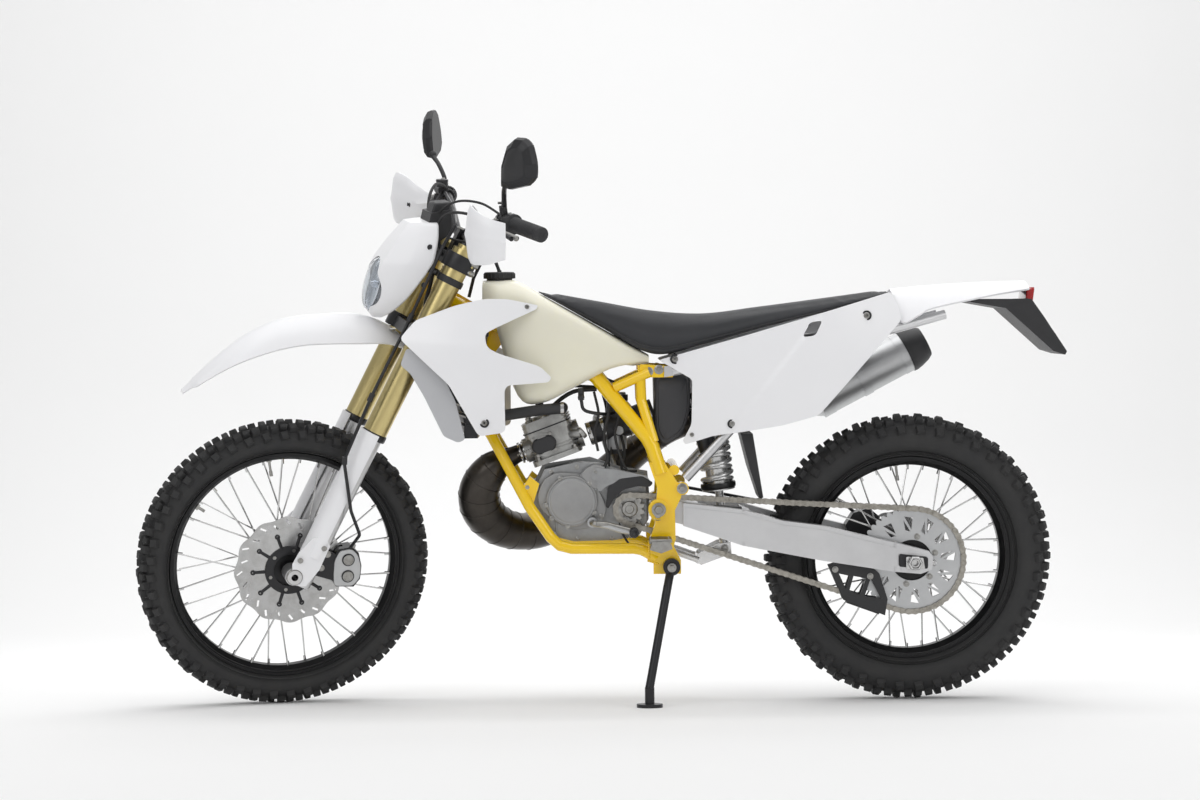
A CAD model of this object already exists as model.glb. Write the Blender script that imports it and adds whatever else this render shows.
import bpy, bmesh, math, random
from mathutils import Matrix, Vector
from mathutils.geometry import delaunay_2d_cdt


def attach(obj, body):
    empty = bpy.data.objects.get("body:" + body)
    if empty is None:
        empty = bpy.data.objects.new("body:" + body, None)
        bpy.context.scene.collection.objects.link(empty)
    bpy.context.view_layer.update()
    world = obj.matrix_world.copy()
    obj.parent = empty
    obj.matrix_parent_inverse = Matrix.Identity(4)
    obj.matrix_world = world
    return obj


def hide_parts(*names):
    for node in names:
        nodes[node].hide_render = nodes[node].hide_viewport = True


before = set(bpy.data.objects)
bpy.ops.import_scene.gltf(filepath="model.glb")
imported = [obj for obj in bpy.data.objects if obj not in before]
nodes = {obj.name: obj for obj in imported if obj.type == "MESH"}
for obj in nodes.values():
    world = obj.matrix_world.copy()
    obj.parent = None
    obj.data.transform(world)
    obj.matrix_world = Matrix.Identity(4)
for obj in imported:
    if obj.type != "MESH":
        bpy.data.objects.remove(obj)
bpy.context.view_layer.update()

# The machine's own axes, in millimetres: x to the rear from the front axle, y to the
# right, z up from the ground.
machine = {
    "lean": 6, "pitch": -0.189, "shift": (-751, 156, -2.8), "steer": 21, "rake": 27.5,
    "clampOffset": 28, "axleLead": 27, "legOut": 98, "frontRadius": 346, "rearRadius": 340,
    "wheelbase": 1482, "barUp": 1240,
}


def turn(degrees, axis):
    return Matrix.Rotation(math.radians(degrees), 4, axis)


def move(x, y, z):
    return Matrix.Translation((x, y, z))


rake = math.radians(machine["rake"])
trail = (machine["frontRadius"] * math.sin(rake) - machine["clampOffset"] - machine["axleLead"]) / math.cos(rake)
metres = Matrix.Scale(0.001, 4)
standing = move(*machine["shift"]) @ turn(machine["lean"], "X") @ turn(machine["pitch"], "Y")
alongFork = standing @ move(-trail, 0, 0) @ turn(machine["rake"], "Y") @ turn(machine["steer"], "Z")
turned = alongFork @ turn(-machine["rake"], "Y") @ move(trail, 0, 0)
frontHub = turned @ move(0, 0, machine["frontRadius"])
rearHub = standing @ move(machine["wheelbase"], 0, machine["rearRadius"])
acrossAxis = turn(90, "X")


# Materials

def paint(red, green, blue):
    def straight(v):
        v /= 255
        return v / 12.92 if v <= 0.04045 else ((v + 0.055) / 1.055) ** 2.4
    return (straight(red), straight(green), straight(blue), 1)


def group(name, inputs, outputs):
    tree = bpy.data.node_groups.new(name, "ShaderNodeTree")
    for label, kind, value in inputs:
        socket = tree.interface.new_socket(label, in_out="INPUT", socket_type=kind)
        if value is not None:
            socket.default_value = value
    for label, kind in outputs:
        tree.interface.new_socket(label, in_out="OUTPUT", socket_type=kind)
    return tree, tree.nodes.new("NodeGroupInput"), tree.nodes.new("NodeGroupOutput")


def add(tree, kind, **values):
    node = tree.nodes.new(kind)
    for key, value in values.items():
        if hasattr(node, key):
            setattr(node, key, value)
        else:
            node.inputs[key.replace("_", " ")].default_value = value
    return node


def makeGrain():
    tree, source, result = group("grain", [
        ("Scale", "NodeSocketFloat", 400.0), ("Depth", "NodeSocketFloat", 0.1),
        ("Rough", "NodeSocketFloat", 0.4), ("Spread", "NodeSocketFloat", 0.08)],
        [("Roughness", "NodeSocketFloat"), ("Normal", "NodeSocketVector")])
    place = add(tree, "ShaderNodeTexCoord")
    fine = add(tree, "ShaderNodeTexNoise", Detail=3.0)
    broad = add(tree, "ShaderNodeTexNoise", Scale=9.0, Detail=4.0)
    bump = add(tree, "ShaderNodeBump", Distance=0.0006)
    ranged = add(tree, "ShaderNodeMath", operation="MULTIPLY_ADD")
    low = add(tree, "ShaderNodeMath", operation="SUBTRACT")
    low.inputs[1].default_value = 0.5
    link = tree.links.new
    link(place.outputs["Object"], fine.inputs["Vector"])
    link(place.outputs["Object"], broad.inputs["Vector"])
    link(source.outputs["Scale"], fine.inputs["Scale"])
    link(fine.outputs["Fac"], bump.inputs["Height"])
    link(source.outputs["Depth"], bump.inputs["Strength"])
    link(broad.outputs["Fac"], low.inputs[0])
    link(low.outputs[0], ranged.inputs[0])
    link(source.outputs["Spread"], ranged.inputs[1])
    link(source.outputs["Rough"], ranged.inputs[2])
    link(ranged.outputs[0], result.inputs["Roughness"])
    link(bump.outputs["Normal"], result.inputs["Normal"])
    return tree


def makeTone():
    tree, source, result = group("tone", [
        ("Colour", "NodeSocketColor", (0.5, 0.5, 0.5, 1)), ("Other", "NodeSocketColor", (0.3, 0.3, 0.3, 1)),
        ("Scale", "NodeSocketFloat", 6.0), ("Amount", "NodeSocketFloat", 0.3)],
        [("Colour", "NodeSocketColor")])
    place = add(tree, "ShaderNodeTexCoord")
    noise = add(tree, "ShaderNodeTexNoise", Detail=6.0, Roughness=0.62)
    ramp = add(tree, "ShaderNodeMapRange")
    ramp.inputs["From Min"].default_value = 0.38
    ramp.inputs["From Max"].default_value = 0.72
    mix = add(tree, "ShaderNodeMix", data_type="RGBA")
    scaled = add(tree, "ShaderNodeMath", operation="MULTIPLY")
    link = tree.links.new
    link(place.outputs["Object"], noise.inputs["Vector"])
    link(source.outputs["Scale"], noise.inputs["Scale"])
    link(noise.outputs["Fac"], ramp.inputs["Value"])
    link(ramp.outputs["Result"], scaled.inputs[0])
    link(source.outputs["Amount"], scaled.inputs[1])
    link(scaled.outputs[0], mix.inputs["Factor"])
    link(source.outputs["Colour"], mix.inputs["A"])
    link(source.outputs["Other"], mix.inputs["B"])
    link(mix.outputs["Result"], result.inputs["Colour"])
    return tree


def makeBrushed():
    tree, source, result = group("brushed", [
        ("Along", "NodeSocketVector", (4.0, 400.0, 400.0)), ("Depth", "NodeSocketFloat", 0.15),
        ("Rough", "NodeSocketFloat", 0.3)],
        [("Roughness", "NodeSocketFloat"), ("Normal", "NodeSocketVector"), ("Line", "NodeSocketFloat")])
    place = add(tree, "ShaderNodeTexCoord")
    stretch = add(tree, "ShaderNodeVectorMath", operation="MULTIPLY")
    noise = add(tree, "ShaderNodeTexNoise", Scale=1.0, Detail=4.0)
    bump = add(tree, "ShaderNodeBump", Distance=0.0003)
    ranged = add(tree, "ShaderNodeMath", operation="MULTIPLY_ADD")
    ranged.inputs[1].default_value = 0.18
    link = tree.links.new
    link(place.outputs["Object"], stretch.inputs[0])
    link(source.outputs["Along"], stretch.inputs[1])
    link(stretch.outputs[0], noise.inputs["Vector"])
    link(noise.outputs["Fac"], bump.inputs["Height"])
    link(source.outputs["Depth"], bump.inputs["Strength"])
    link(noise.outputs["Fac"], ranged.inputs[0])
    link(source.outputs["Rough"], ranged.inputs[2])
    link(ranged.outputs[0], result.inputs["Roughness"])
    link(bump.outputs["Normal"], result.inputs["Normal"])
    link(noise.outputs["Fac"], result.inputs["Line"])
    return tree


grainTree, toneTree, brushedTree = makeGrain(), makeTone(), makeBrushed()
finishes = {}


def finish(name, colour, other=None, amount=0.3, toneScale=6.0, metal=0.0, rough=0.4, spread=0.08,
           grain=400.0, depth=0.1, along=None, **extra):
    material = bpy.data.materials.new(name)
    material.use_nodes = True
    tree = material.node_tree
    shader = tree.nodes["Principled BSDF"]
    link = tree.links.new
    tone = add(tree, "ShaderNodeGroup", node_tree=toneTree)
    tone.inputs["Colour"].default_value = colour
    tone.inputs["Other"].default_value = other or tuple(0.6 * c for c in colour[:3]) + (1,)
    tone.inputs["Scale"].default_value = toneScale
    tone.inputs["Amount"].default_value = amount
    link(tone.outputs["Colour"], shader.inputs["Base Color"])
    if along:
        lines = add(tree, "ShaderNodeGroup", node_tree=brushedTree)
        lines.inputs["Along"].default_value = along
        lines.inputs["Rough"].default_value = rough
        lines.inputs["Depth"].default_value = depth
    else:
        lines = add(tree, "ShaderNodeGroup", node_tree=grainTree)
        lines.inputs["Scale"].default_value = grain
        lines.inputs["Depth"].default_value = depth
        lines.inputs["Rough"].default_value = rough
        lines.inputs["Spread"].default_value = spread
    link(lines.outputs["Roughness"], shader.inputs["Roughness"])
    link(lines.outputs["Normal"], shader.inputs["Normal"])
    shader.inputs["Metallic"].default_value = metal
    for key, value in extra.items():
        shader.inputs[key.replace("_", " ")].default_value = value
    finishes[name] = material
    return material


finish("framePaint", paint(246, 204, 6), paint(236, 186, 4), 0.35, 3.0, rough=0.24, grain=260, depth=0.05,
       Coat_Weight=0.6, Coat_Roughness=0.12)
finish("whitePlastic", paint(238, 238, 240), paint(228, 229, 233), 0.3, 2.5, rough=0.3, grain=900, depth=0.04,
       Subsurface_Weight=0.06, Subsurface_Radius=(0.01, 0.01, 0.01))
finish("tankPlastic", paint(236, 233, 216), paint(226, 222, 196), 0.5, 3.0, rough=0.36, grain=700, depth=0.08,
       Subsurface_Weight=0.25, Subsurface_Radius=(0.03, 0.028, 0.018))
finish("seatVinyl", paint(47, 48, 51), paint(38, 39, 42), 0.5, 12.0, rough=0.66, grain=1600, depth=0.5)
finish("blackPlastic", paint(40, 40, 42), paint(30, 30, 32), 0.5, 14.0, rough=0.5, grain=1400, depth=0.3)
finish("greyPlastic", paint(186, 187, 190), paint(172, 173, 176), 0.4, 5.0, rough=0.42, grain=1000, depth=0.1)
finish("airboxPlastic", paint(58, 58, 61), paint(48, 48, 50), 0.5, 8.0, rough=0.45, grain=1500, depth=0.25)
finish("rubber", paint(38, 38, 39), paint(58, 57, 55), 0.35, 18.0, rough=0.72, grain=900, depth=0.4)
finish("gripRubber", paint(48, 48, 50), paint(62, 62, 63), 0.3, 30.0, rough=0.7, grain=1200, depth=0.35)
finish("forkGold", paint(206, 190, 136), paint(188, 170, 112), 0.4, 3.0, metal=1.0, rough=0.22,
       along=(90.0, 90.0, 900.0), depth=0.04)
finish("blackMetal", paint(42, 42, 44), paint(54, 54, 56), 0.4, 20.0, metal=0.4, rough=0.36, grain=700, depth=0.15)
finish("rimBlack", paint(26, 26, 27), paint(40, 40, 42), 0.35, 24.0, metal=0.5, rough=0.3, grain=600, depth=0.1)
finish("brightSteel", paint(206, 206, 206), paint(150, 148, 144), 0.35, 30.0, metal=1.0, rough=0.2, grain=500,
       depth=0.08)
finish("boltSteel", paint(168, 167, 164), paint(110, 106, 100), 0.5, 90.0, metal=1.0, rough=0.3, grain=900,
       depth=0.12)
finish("brushedAlloy", paint(214, 214, 215), paint(184, 184, 186), 0.5, 5.0, metal=1.0, rough=0.3,
       along=(5.0, 300.0, 300.0), depth=0.22)
finish("castAlloy", paint(164, 165, 166), paint(122, 122, 122), 0.5, 26.0, metal=0.85, rough=0.42, grain=1100,
       depth=0.5)
finish("coverAlloy", paint(158, 158, 158), paint(134, 134, 134), 0.5, 16.0, metal=0.6, rough=0.48, grain=1700,
       depth=0.4)
finish("cylinderAlloy", paint(172, 172, 170), paint(118, 117, 114), 0.6, 30.0, metal=0.85, rough=0.4, grain=900,
       depth=0.5)
finish("pipeSteel", paint(74, 70, 66), paint(42, 38, 35), 0.6, 14.0, metal=0.95, rough=0.3, grain=300, depth=0.12)
finish("silencerAlloy", paint(196, 197, 198), paint(170, 171, 172), 0.5, 8.0, metal=1.0, rough=0.34,
       along=(60.0, 60.0, 500.0), depth=0.15)
finish("chainSteel", paint(172, 168, 160), paint(98, 94, 86), 0.6, 120.0, metal=1.0, rough=0.32, grain=800,
       depth=0.1)
finish("discSteel", paint(190, 190, 190), paint(140, 138, 134), 0.45, 40.0, metal=1.0, rough=0.27, grain=600,
       depth=0.1)
finish("redLens", paint(196, 10, 14), paint(150, 4, 8), 0.4, 20.0, rough=0.12, grain=300, depth=0.05,
       Coat_Weight=1.0, Transmission_Weight=0.25)
finish("clearLens", paint(236, 240, 244), paint(226, 232, 238), 0.3, 10.0, rough=0.04, grain=100, depth=0.02,
       Transmission_Weight=0.92, IOR=1.45)
finish("reflector", paint(230, 232, 236), paint(200, 204, 210), 0.3, 30.0, metal=1.0, rough=0.08, grain=60,
       depth=0.2)
finish("springSteel", paint(222, 222, 222), paint(190, 190, 190), 0.4, 20.0, metal=0.7, rough=0.26, grain=500,
       depth=0.08)
print("materials", len(finishes))

look = {
    "frame": "framePaint", "cradle": "framePaint", "subframe": "brushedAlloy", "engine_cases": "castAlloy",
    "cylinder": "cylinderAlloy", "exhaust_pipe": "pipeSteel", "silencer": "silencerAlloy",
    "intake": "blackPlastic", "radiators": "blackMetal", "tank": "tankPlastic", "seat": "seatVinyl",
    "shrouds": "whitePlastic", "side_panels": "whitePlastic", "rear_fender": "whitePlastic",
    "tail_light": "redLens", "plate_flap": "blackPlastic", "swingarm": "brushedAlloy",
    "rear_axle": "brightSteel", "chain": "chainSteel", "chain_guide": "blackPlastic", "shock": "springSteel",
    "pedals": "boltSteel", "rear_caliper": "blackMetal", "side_stand": "blackMetal", "rear_tyre": "rubber",
    "rear_rim": "rimBlack", "rear_spokes": "brightSteel", "rear_hub": "rimBlack",
    "rear_sprocket": "silencerAlloy", "rear_disc": "discSteel", "front_tyre": "rubber",
    "front_rim": "rimBlack", "front_spokes": "brightSteel", "front_hub": "rimBlack",
    "front_disc": "discSteel", "fork_tubes": "forkGold", "fork_lowers": "brushedAlloy",
    "front_axle": "brightSteel", "triple_clamps": "blackMetal", "fork_guards": "whitePlastic",
    "front_fender": "whitePlastic", "headlight": "whitePlastic", "handlebar": "blackMetal",
    "hand_guards": "whitePlastic", "front_caliper": "blackMetal",
}


def smoothMesh(mesh, angle=32):
    mesh.shade_smooth()
    mesh.set_sharp_from_angle(angle=math.radians(angle))


for name, obj in nodes.items():
    obj.data.materials.clear()
    obj.data.materials.append(finishes[look[name]])


# Shapes: each adds to a bmesh in millimetres

def rod(bm, a, b, r, r2=None, steps=24):
    a, b = Vector(a), Vector(b)
    d = b - a
    spin = d.to_track_quat("Z", "Y").to_matrix().to_4x4()
    bmesh.ops.create_cone(bm, cap_ends=True, segments=steps, radius1=r, radius2=r if r2 is None else r2,
                          depth=d.length, matrix=Matrix.Translation((a + b) / 2) @ spin)


def through(points, steps=6, closed=False):
    # Smooth run through points (Catmull-Rom)
    p = [Vector(q) for q in points]
    n = len(p)
    out = []
    spans = n if closed else n - 1
    for i in range(spans):
        a = p[(i - 1) % n] if closed or i else p[0] * 2 - p[1]
        b, c = p[i], p[(i + 1) % n]
        d = p[(i + 2) % n] if closed or i + 2 < n else c * 2 - b
        for k in range(steps):
            t = k / steps
            out.append(0.5 * ((2 * b) + (c - a) * t + (2 * a - 5 * b + 4 * c - d) * t * t
                              + (3 * b - a - 3 * c + d) * t ** 3))
    if not closed:
        out.append(p[-1].copy())
    return out


def skin(bm, rings, closed=True, caps=True, wrap=False):
    rows = [[bm.verts.new(p) for p in ring] for ring in rings]
    n = len(rows[0])
    last = len(rows) if wrap else len(rows) - 1
    for i in range(last):
        a, b = rows[i], rows[(i + 1) % len(rows)]
        for k in range(n if closed else n - 1):
            j = (k + 1) % n
            bm.faces.new((a[k], a[j], b[j], b[k]))
    if caps and not wrap and closed:
        bm.faces.new(rows[0][::-1])
        bm.faces.new(rows[-1])
    return rows


def tube(bm, points, r, steps=14, smooth=6, radii=None, wrap=False):
    path = through(points, smooth, wrap) if smooth > 1 else [Vector(q) for q in points]
    if radii:
        spread = through([Vector((v, 0, 0)) for v in radii], smooth)
        size = [v.x for v in spread]
    else:
        size = [r] * len(path)
    side = None
    rings = []
    for i, p in enumerate(path):
        ahead = path[(i + 1) % len(path)] if wrap or i + 1 < len(path) else p
        behind = path[i - 1] if wrap or i else p
        d = (ahead - behind).normalized()
        if side is None:
            side = d.orthogonal().normalized()
        side = (side - d * side.dot(d)).normalized()
        other = d.cross(side)
        rings.append([p + size[i] * (math.cos(a) * side + math.sin(a) * other)
                      for a in (2 * math.pi * k / steps for k in range(steps))])
    skin(bm, rings, wrap=wrap)


def lathe(bm, profile, place=Matrix.Identity(4), steps=48, closed=False):
    # (radius, height) pairs spun about z of place; a closed profile makes a ring
    before = set(bm.verts)
    start = [bm.verts.new((r, 0, h)) for r, h in profile]
    pairs = list(zip(start, start[1:])) + ([(start[-1], start[0])] if closed else [])
    edges = [bm.edges.new(pair) for pair in pairs]
    bmesh.ops.spin(bm, geom=start + edges, cent=(0, 0, 0), axis=(0, 0, 1), angle=2 * math.pi, steps=steps,
                   use_merge=True, use_duplicate=False)
    bmesh.ops.transform(bm, matrix=place, verts=[v for v in bm.verts if v not in before])
    bmesh.ops.remove_doubles(bm, verts=bm.verts, dist=0.002)
    bmesh.ops.holes_fill(bm, edges=[e for e in bm.edges if e.is_boundary], sides=0)


def prism(bm, outline, low, high, place=Matrix.Identity(4)):
    # outline in (x, z), pulled from y = low to y = high
    face = bm.faces.new([bm.verts.new(place @ Vector((x, low, z))) for x, z in outline])
    pulled = bmesh.ops.extrude_face_region(bm, geom=[face], use_keep_orig=True)["geom"]
    bmesh.ops.translate(bm, vec=place.to_3x3() @ Vector((0, high - low, 0)),
                        verts=[v for v in pulled if isinstance(v, bmesh.types.BMVert)])


def facing(x, y, z):
    # On the side of the machine, z of this place pointing outwards
    return move(x, y, z) @ turn(90 if y < 0 else -90, "X")


def around(count, r, x=0.0, z=0.0, start=0.0):
    # Points evenly round a centre in the side view
    angles = [start + 2 * math.pi * k / count for k in range(count)]
    return [(x + r * math.cos(a), z + r * math.sin(a)) for a in angles]


def onLeg(side, z=0.0):
    # On the axis of one fork leg, z along it
    return move(-machine["clampOffset"], side * machine["legOut"], z)


def bolt(bm, place, r=5.0, flange=True):
    # Hexagon head on a flange, head along z of place
    if flange:
        lathe(bm, [(0, -1), (r * 1.5, -1), (r * 1.5, 0.6), (r * 1.15, 1.2), (0, 1.2)], place, 20)
    lathe(bm, [(0, 0), (r, 0), (r, r * 0.7), (r * 0.86, r * 0.95), (0, r * 0.95)], place, 6)


def socketScrew(bm, place, r=5.0):
    # Round head with a hexagon socket
    lathe(bm, [(0, -1), (r, -1), (r, r * 0.45), (r * 0.82, r * 0.7), (r * 0.5, r * 0.72)], place, 20)
    lathe(bm, [(r * 0.5, r * 0.72), (r * 0.46, r * 0.15), (0, r * 0.1)], place, 6)


def panel(bm, outline, depth, thick, cell=12.0, holes=()):
    # A curved sheet with this (x, z) outline; depth(x, z) gives y, thick goes inwards
    loop = [Vector(p) for p in outline]
    cutouts = [[Vector(p) for p in h] for h in holes]
    points, edges = [], []
    for ring in [loop] + cutouts:
        start = len(points)
        dense = []
        for i, p in enumerate(ring):
            q = ring[(i + 1) % len(ring)]
            n = max(1, int((q - p).length / cell))
            dense += [p.lerp(q, k / n) for k in range(n)]
        points += dense
        edges += [(start + i, start + (i + 1) % len(dense)) for i in range(len(dense))]
    low = Vector((min(p.x for p in loop), min(p.y for p in loop)))
    high = Vector((max(p.x for p in loop), max(p.y for p in loop)))
    border = list(points)
    x = low.x
    row = 0
    while x < high.x:
        y = low.y + (cell / 2 if row % 2 else 0)
        while y < high.y:
            p = Vector((x, y))
            if inside(p, loop) and all(not inside(p, h) for h in cutouts) \
                    and min((p - q).length for q in border) > cell * 0.55:
                points.append(p)
            y += cell
        x += cell * 0.866
        row += 1
    cut = delaunay_2d_cdt(points, edges, [], 1, 0.01)
    made, faces = cut[0], []
    for f in cut[2]:
        centre = sum((made[i] for i in f), Vector((0, 0))) / len(f)
        if inside(centre, loop) and all(not inside(centre, h) for h in cutouts):
            faces.append(f)
    outer = [bm.verts.new((p.x, depth(p.x, p.y), p.y)) for p in made]
    sign = 1 if depth(loop[0].x, loop[0].y) > 0 else -1
    inner = [bm.verts.new((p.x, depth(p.x, p.y) - sign * thick, p.y)) for p in made]
    count = {}
    for f in faces:
        bm.faces.new([outer[i] for i in f])
        bm.faces.new([inner[i] for i in reversed(f)])
        for a, b in zip(f, f[1:] + f[:1]):
            count[(a, b)] = count.get((a, b), 0) + 1
    for a, b in count:
        if (b, a) not in count:
            bm.faces.new((outer[a], inner[a], inner[b], outer[b]))
    bmesh.ops.delete(bm, geom=[v for v in bm.verts if not v.link_faces], context="VERTS")


def inside(p, ring):
    found = False
    for a, b in zip(ring, ring[1:] + ring[:1]):
        if (a[1] > p[1]) != (b[1] > p[1]) and p[0] < (b[0] - a[0]) * (p[1] - a[1]) / (b[1] - a[1]) + a[0]:
            found = not found
    return found


def hollow(obj, cutter, angle):
    # Takes the cutter's form out of obj and removes the cutter
    cut = obj.modifiers.new("cut", "BOOLEAN")
    cut.object, cut.operation, cut.solver = cutter, "DIFFERENCE", "EXACT"
    bpy.context.view_layer.update()
    graph = bpy.context.evaluated_depsgraph_get()
    mesh = bpy.data.meshes.new_from_object(obj.evaluated_get(graph))
    obj.modifiers.clear()
    obj.data = mesh
    bpy.data.objects.remove(cutter)
    smoothMesh(mesh, angle)


def piece(name, bm, place, material, body, angle=32, mirror=False, bevel=0.0, subdivide=0):
    # bm in millimetres becomes an object in metres that rides on body
    if mirror:
        copy = bm.copy()
        bmesh.ops.scale(copy, vec=(1, -1, 1), verts=copy.verts)
        bmesh.ops.reverse_faces(copy, faces=copy.faces)
        spare = bpy.data.meshes.new("spare")
        copy.to_mesh(spare)
        bm.from_mesh(spare)
        bpy.data.meshes.remove(spare)
        copy.free()
    bmesh.ops.transform(bm, matrix=metres @ place, verts=bm.verts)
    bmesh.ops.recalc_face_normals(bm, faces=bm.faces)
    mesh = bpy.data.meshes.new(name)
    bm.to_mesh(mesh)
    bm.free()
    obj = bpy.data.objects.new(name, mesh)
    bpy.context.scene.collection.objects.link(obj)
    mesh.materials.append(finishes[material])
    if bevel:
        cut = obj.modifiers.new("bevel", "BEVEL")
        cut.width, cut.segments, cut.limit_method, cut.angle_limit = bevel * 0.001, 2, "ANGLE", math.radians(40)
    if subdivide:
        soft = obj.modifiers.new("soft", "SUBSURF")
        soft.levels = soft.render_levels = subdivide
    smoothMesh(mesh, angle)
    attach(obj, body)
    return obj


# Tyres: a carcass and rows of blocks, turned about the hub's cross axis

def knob(bm, centre, out, along, side, size, height):
    # One tread block: size is (along, across) at its root, narrower at its top
    corners = [(-1, -1), (1, -1), (1, 1), (-1, 1)]
    rings = []
    for h, s in ((-3.0, 1.06), (height - 1.4, 0.9), (height, 0.78)):
        rings.append([centre + out * h + along * (u * size[0] / 2 * s) + side * (v * size[1] / 2 * s)
                      for u, v in corners])
    skin(bm, rings)


tyres = {
    "front": {"r": machine["frontRadius"], "half": 46, "rim": 271, "rows": 48, "lug": 12},
    "rear": {"r": machine["rearRadius"], "half": 60, "rim": 238, "rows": 42, "lug": 12},
}


def makeTyre(end, hub):
    size = tyres[end]
    r, half, rim, rows, lug = (size[key] for key in ("r", "half", "rim", "rows", "lug"))
    bm = bmesh.new()
    base = r - lug
    section = []
    for k in range(29):
        a = math.pi * (k / 28 - 0.5) * 1.28
        section.append((base - (base - rim) * 0.53 * (1 - math.cos(a)), half * 0.97 * math.sin(a)))
    section = [(rim + 1.5, -half * 0.48)] + [s for s in section if s[0] > rim + 4] + [(rim + 1.5, half * 0.48)]
    lathe(bm, section, acrossAxis, 128, closed=True)
    rng = random.Random(7)
    cross = Vector((0, 1, 0))
    for i in range(rows):
        turnAngle = 2 * math.pi * i / rows
        second = turnAngle + math.pi / rows
        # Angle, place across, skew, length and width of each block
        blocks = [(turnAngle, 0.0, 0.0, 17, 34)]
        if i % 2:
            blocks = [(turnAngle, 0.16, 0.0, 15, 24), (turnAngle, -0.16, 0.0, 15, 24)]
        for s in (-1, 1):
            blocks += [(second, s * 0.52, s * 0.12, 19, 21), (turnAngle, s * 0.86, s * 0.2, 19, 19)]
            if i % 2 == 0:
                blocks.append((turnAngle, s * 0.5, -s * 0.1, 16, 15))
        for a, w, skew, long, wide in blocks:
            w *= half
            lean = math.asin(max(-1, min(1, w / (half * 0.97))))
            depth = base - (base - rim) * 0.53 * (1 - math.cos(lean))
            radial = Vector((math.cos(a), 0, math.sin(a)))
            tangent = Vector((-math.sin(a), 0, math.cos(a)))
            out = (radial * math.cos(lean * 0.85) + cross * math.sin(lean * 0.85)).normalized()
            side = tangent.cross(out)
            along = tangent * math.cos(skew) + side * math.sin(skew)
            beyond = side * math.cos(skew) - tangent * math.sin(skew)
            if abs(w) < half * 0.7:
                height = min(lug * (1.0 if abs(w) < half * 0.4 else 0.98), (r - depth) / max(0.2, out.dot(radial)))
            else:
                height = lug * 0.92 * 0.9
            size = (long + rng.uniform(-0.4, 0.4), wide)
            knob(bm, radial * depth + cross * w, out, along, beyond, size, height)
    for s in (-1, 1):
        for d in (rim + 8, rim + 14):
            lathe(bm, [(d - 1.4, s * half * 0.78), (d, s * (half * 0.78 + 3)), (d + 1.4, s * half * 0.78)],
                  acrossAxis, 96, closed=True)
    obj = piece(end + "Tread", bm, hub, "rubber", end + "_wheel", angle=38)
    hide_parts(end + "_tyre")


makeTyre("front", frontHub)
makeTyre("rear", rearHub)
print("tyres")


# Chain: links along its loop

chain = {"pitch": 15.875, "teeth": 48, "pinion": 13, "shaft": (822, 468), "y": -78, "plate": 7.0}


def chainLoop():
    big = chain["pitch"] / (2 * math.sin(math.pi / chain["teeth"]))
    small = chain["pitch"] / (2 * math.sin(math.pi / chain["pinion"]))
    front, rear = Vector(chain["shaft"]), Vector((machine["wheelbase"], machine["rearRadius"]))
    v = rear - front
    m = math.atan2(v.y, v.x)
    b = math.asin((big - small) / v.length)
    points = []
    for k in range(41):
        a = m + math.pi / 2 + b + (math.pi - 2 * b) * k / 40
        points.append(front + small * Vector((math.cos(a), math.sin(a))))
    for k in range(121):
        a = m - math.pi / 2 - b + (math.pi + 2 * b) * k / 120
        points.append(rear + big * Vector((math.cos(a), math.sin(a))))
    points.append(points[0].copy())
    return points


def makeChain():
    path = chainLoop()
    lengths = [0]
    for a, b in zip(path, path[1:]):
        lengths.append(lengths[-1] + (b - a).length)
    count = round(lengths[-1] / chain["pitch"] / 2) * 2

    def at(s):
        s %= lengths[-1]
        for i in range(len(path) - 1):
            if lengths[i + 1] >= s:
                return path[i].lerp(path[i + 1], (s - lengths[i]) / max(1e-6, lengths[i + 1] - lengths[i]))
        return path[-1]
    bm = bmesh.new()
    y = chain["y"]
    step = lengths[-1] / count
    for i in range(count):
        p, q = at(i * step), at((i + 1) * step)
        d = (q - p).normalized()
        n = Vector((-d.y, d.x))
        rod(bm, (p.x, y - 5.6, p.y), (p.x, y + 5.6, p.y), 5.1, steps=12)
        rod(bm, (p.x, y - 8.4, p.y), (p.x, y + 8.4, p.y), 2.6, steps=8)
        near = (2.6, 4.2) if i % 2 else (4.6, 6.2)
        shape = []
        for end, way in ((p, 0.5), (q, -0.5)):
            for k in range(7):
                a = math.pi * (k / 6 + way)
                shape.append(end + chain["plate"] * (d * math.cos(a) + n * math.sin(a)))
            shape.append(p.lerp(q, 0.5) - n * 5.4 * math.copysign(1, way))
        for s in (-1, 1):
            low, high = sorted((y + s * near[0] * 1.3, y + s * near[1] * 1.3))
            prism(bm, shape, low, high)
    obj = piece("chainLinks", bm, standing, "chainSteel", "chassis", angle=30)
    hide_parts("chain")


makeChain()
print("chain")

# Bodywork: the same stations as the plain solids, run through smoothly

def signed(v, e):
    return math.copysign(abs(v) ** e, v)


def ovalRing(x, w, b, t, q=2.6, p=2.6, n=56):
    out = []
    for k in range(n):
        a = 2 * math.pi * (k + 0.5) / n
        c, s = math.cos(a), math.sin(a)
        out.append(Vector((x, w * signed(c, 2 / (q if s > 0 else p)),
                           (b + t) / 2 + (t - b) / 2 * signed(s, 2 / (q if s > 0 else p)))))
    return out


def flatRing(z, f, b, w, q=2.4, n=56):
    out = []
    for k in range(n):
        a = 2 * math.pi * (k + 0.5) / n
        c, s = math.cos(a), math.sin(a)
        out.append(Vector(((f + b) / 2 + (b - f) / 2 * signed(c, 2 / q), w * signed(s, 2 / q), z)))
    return out


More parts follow.
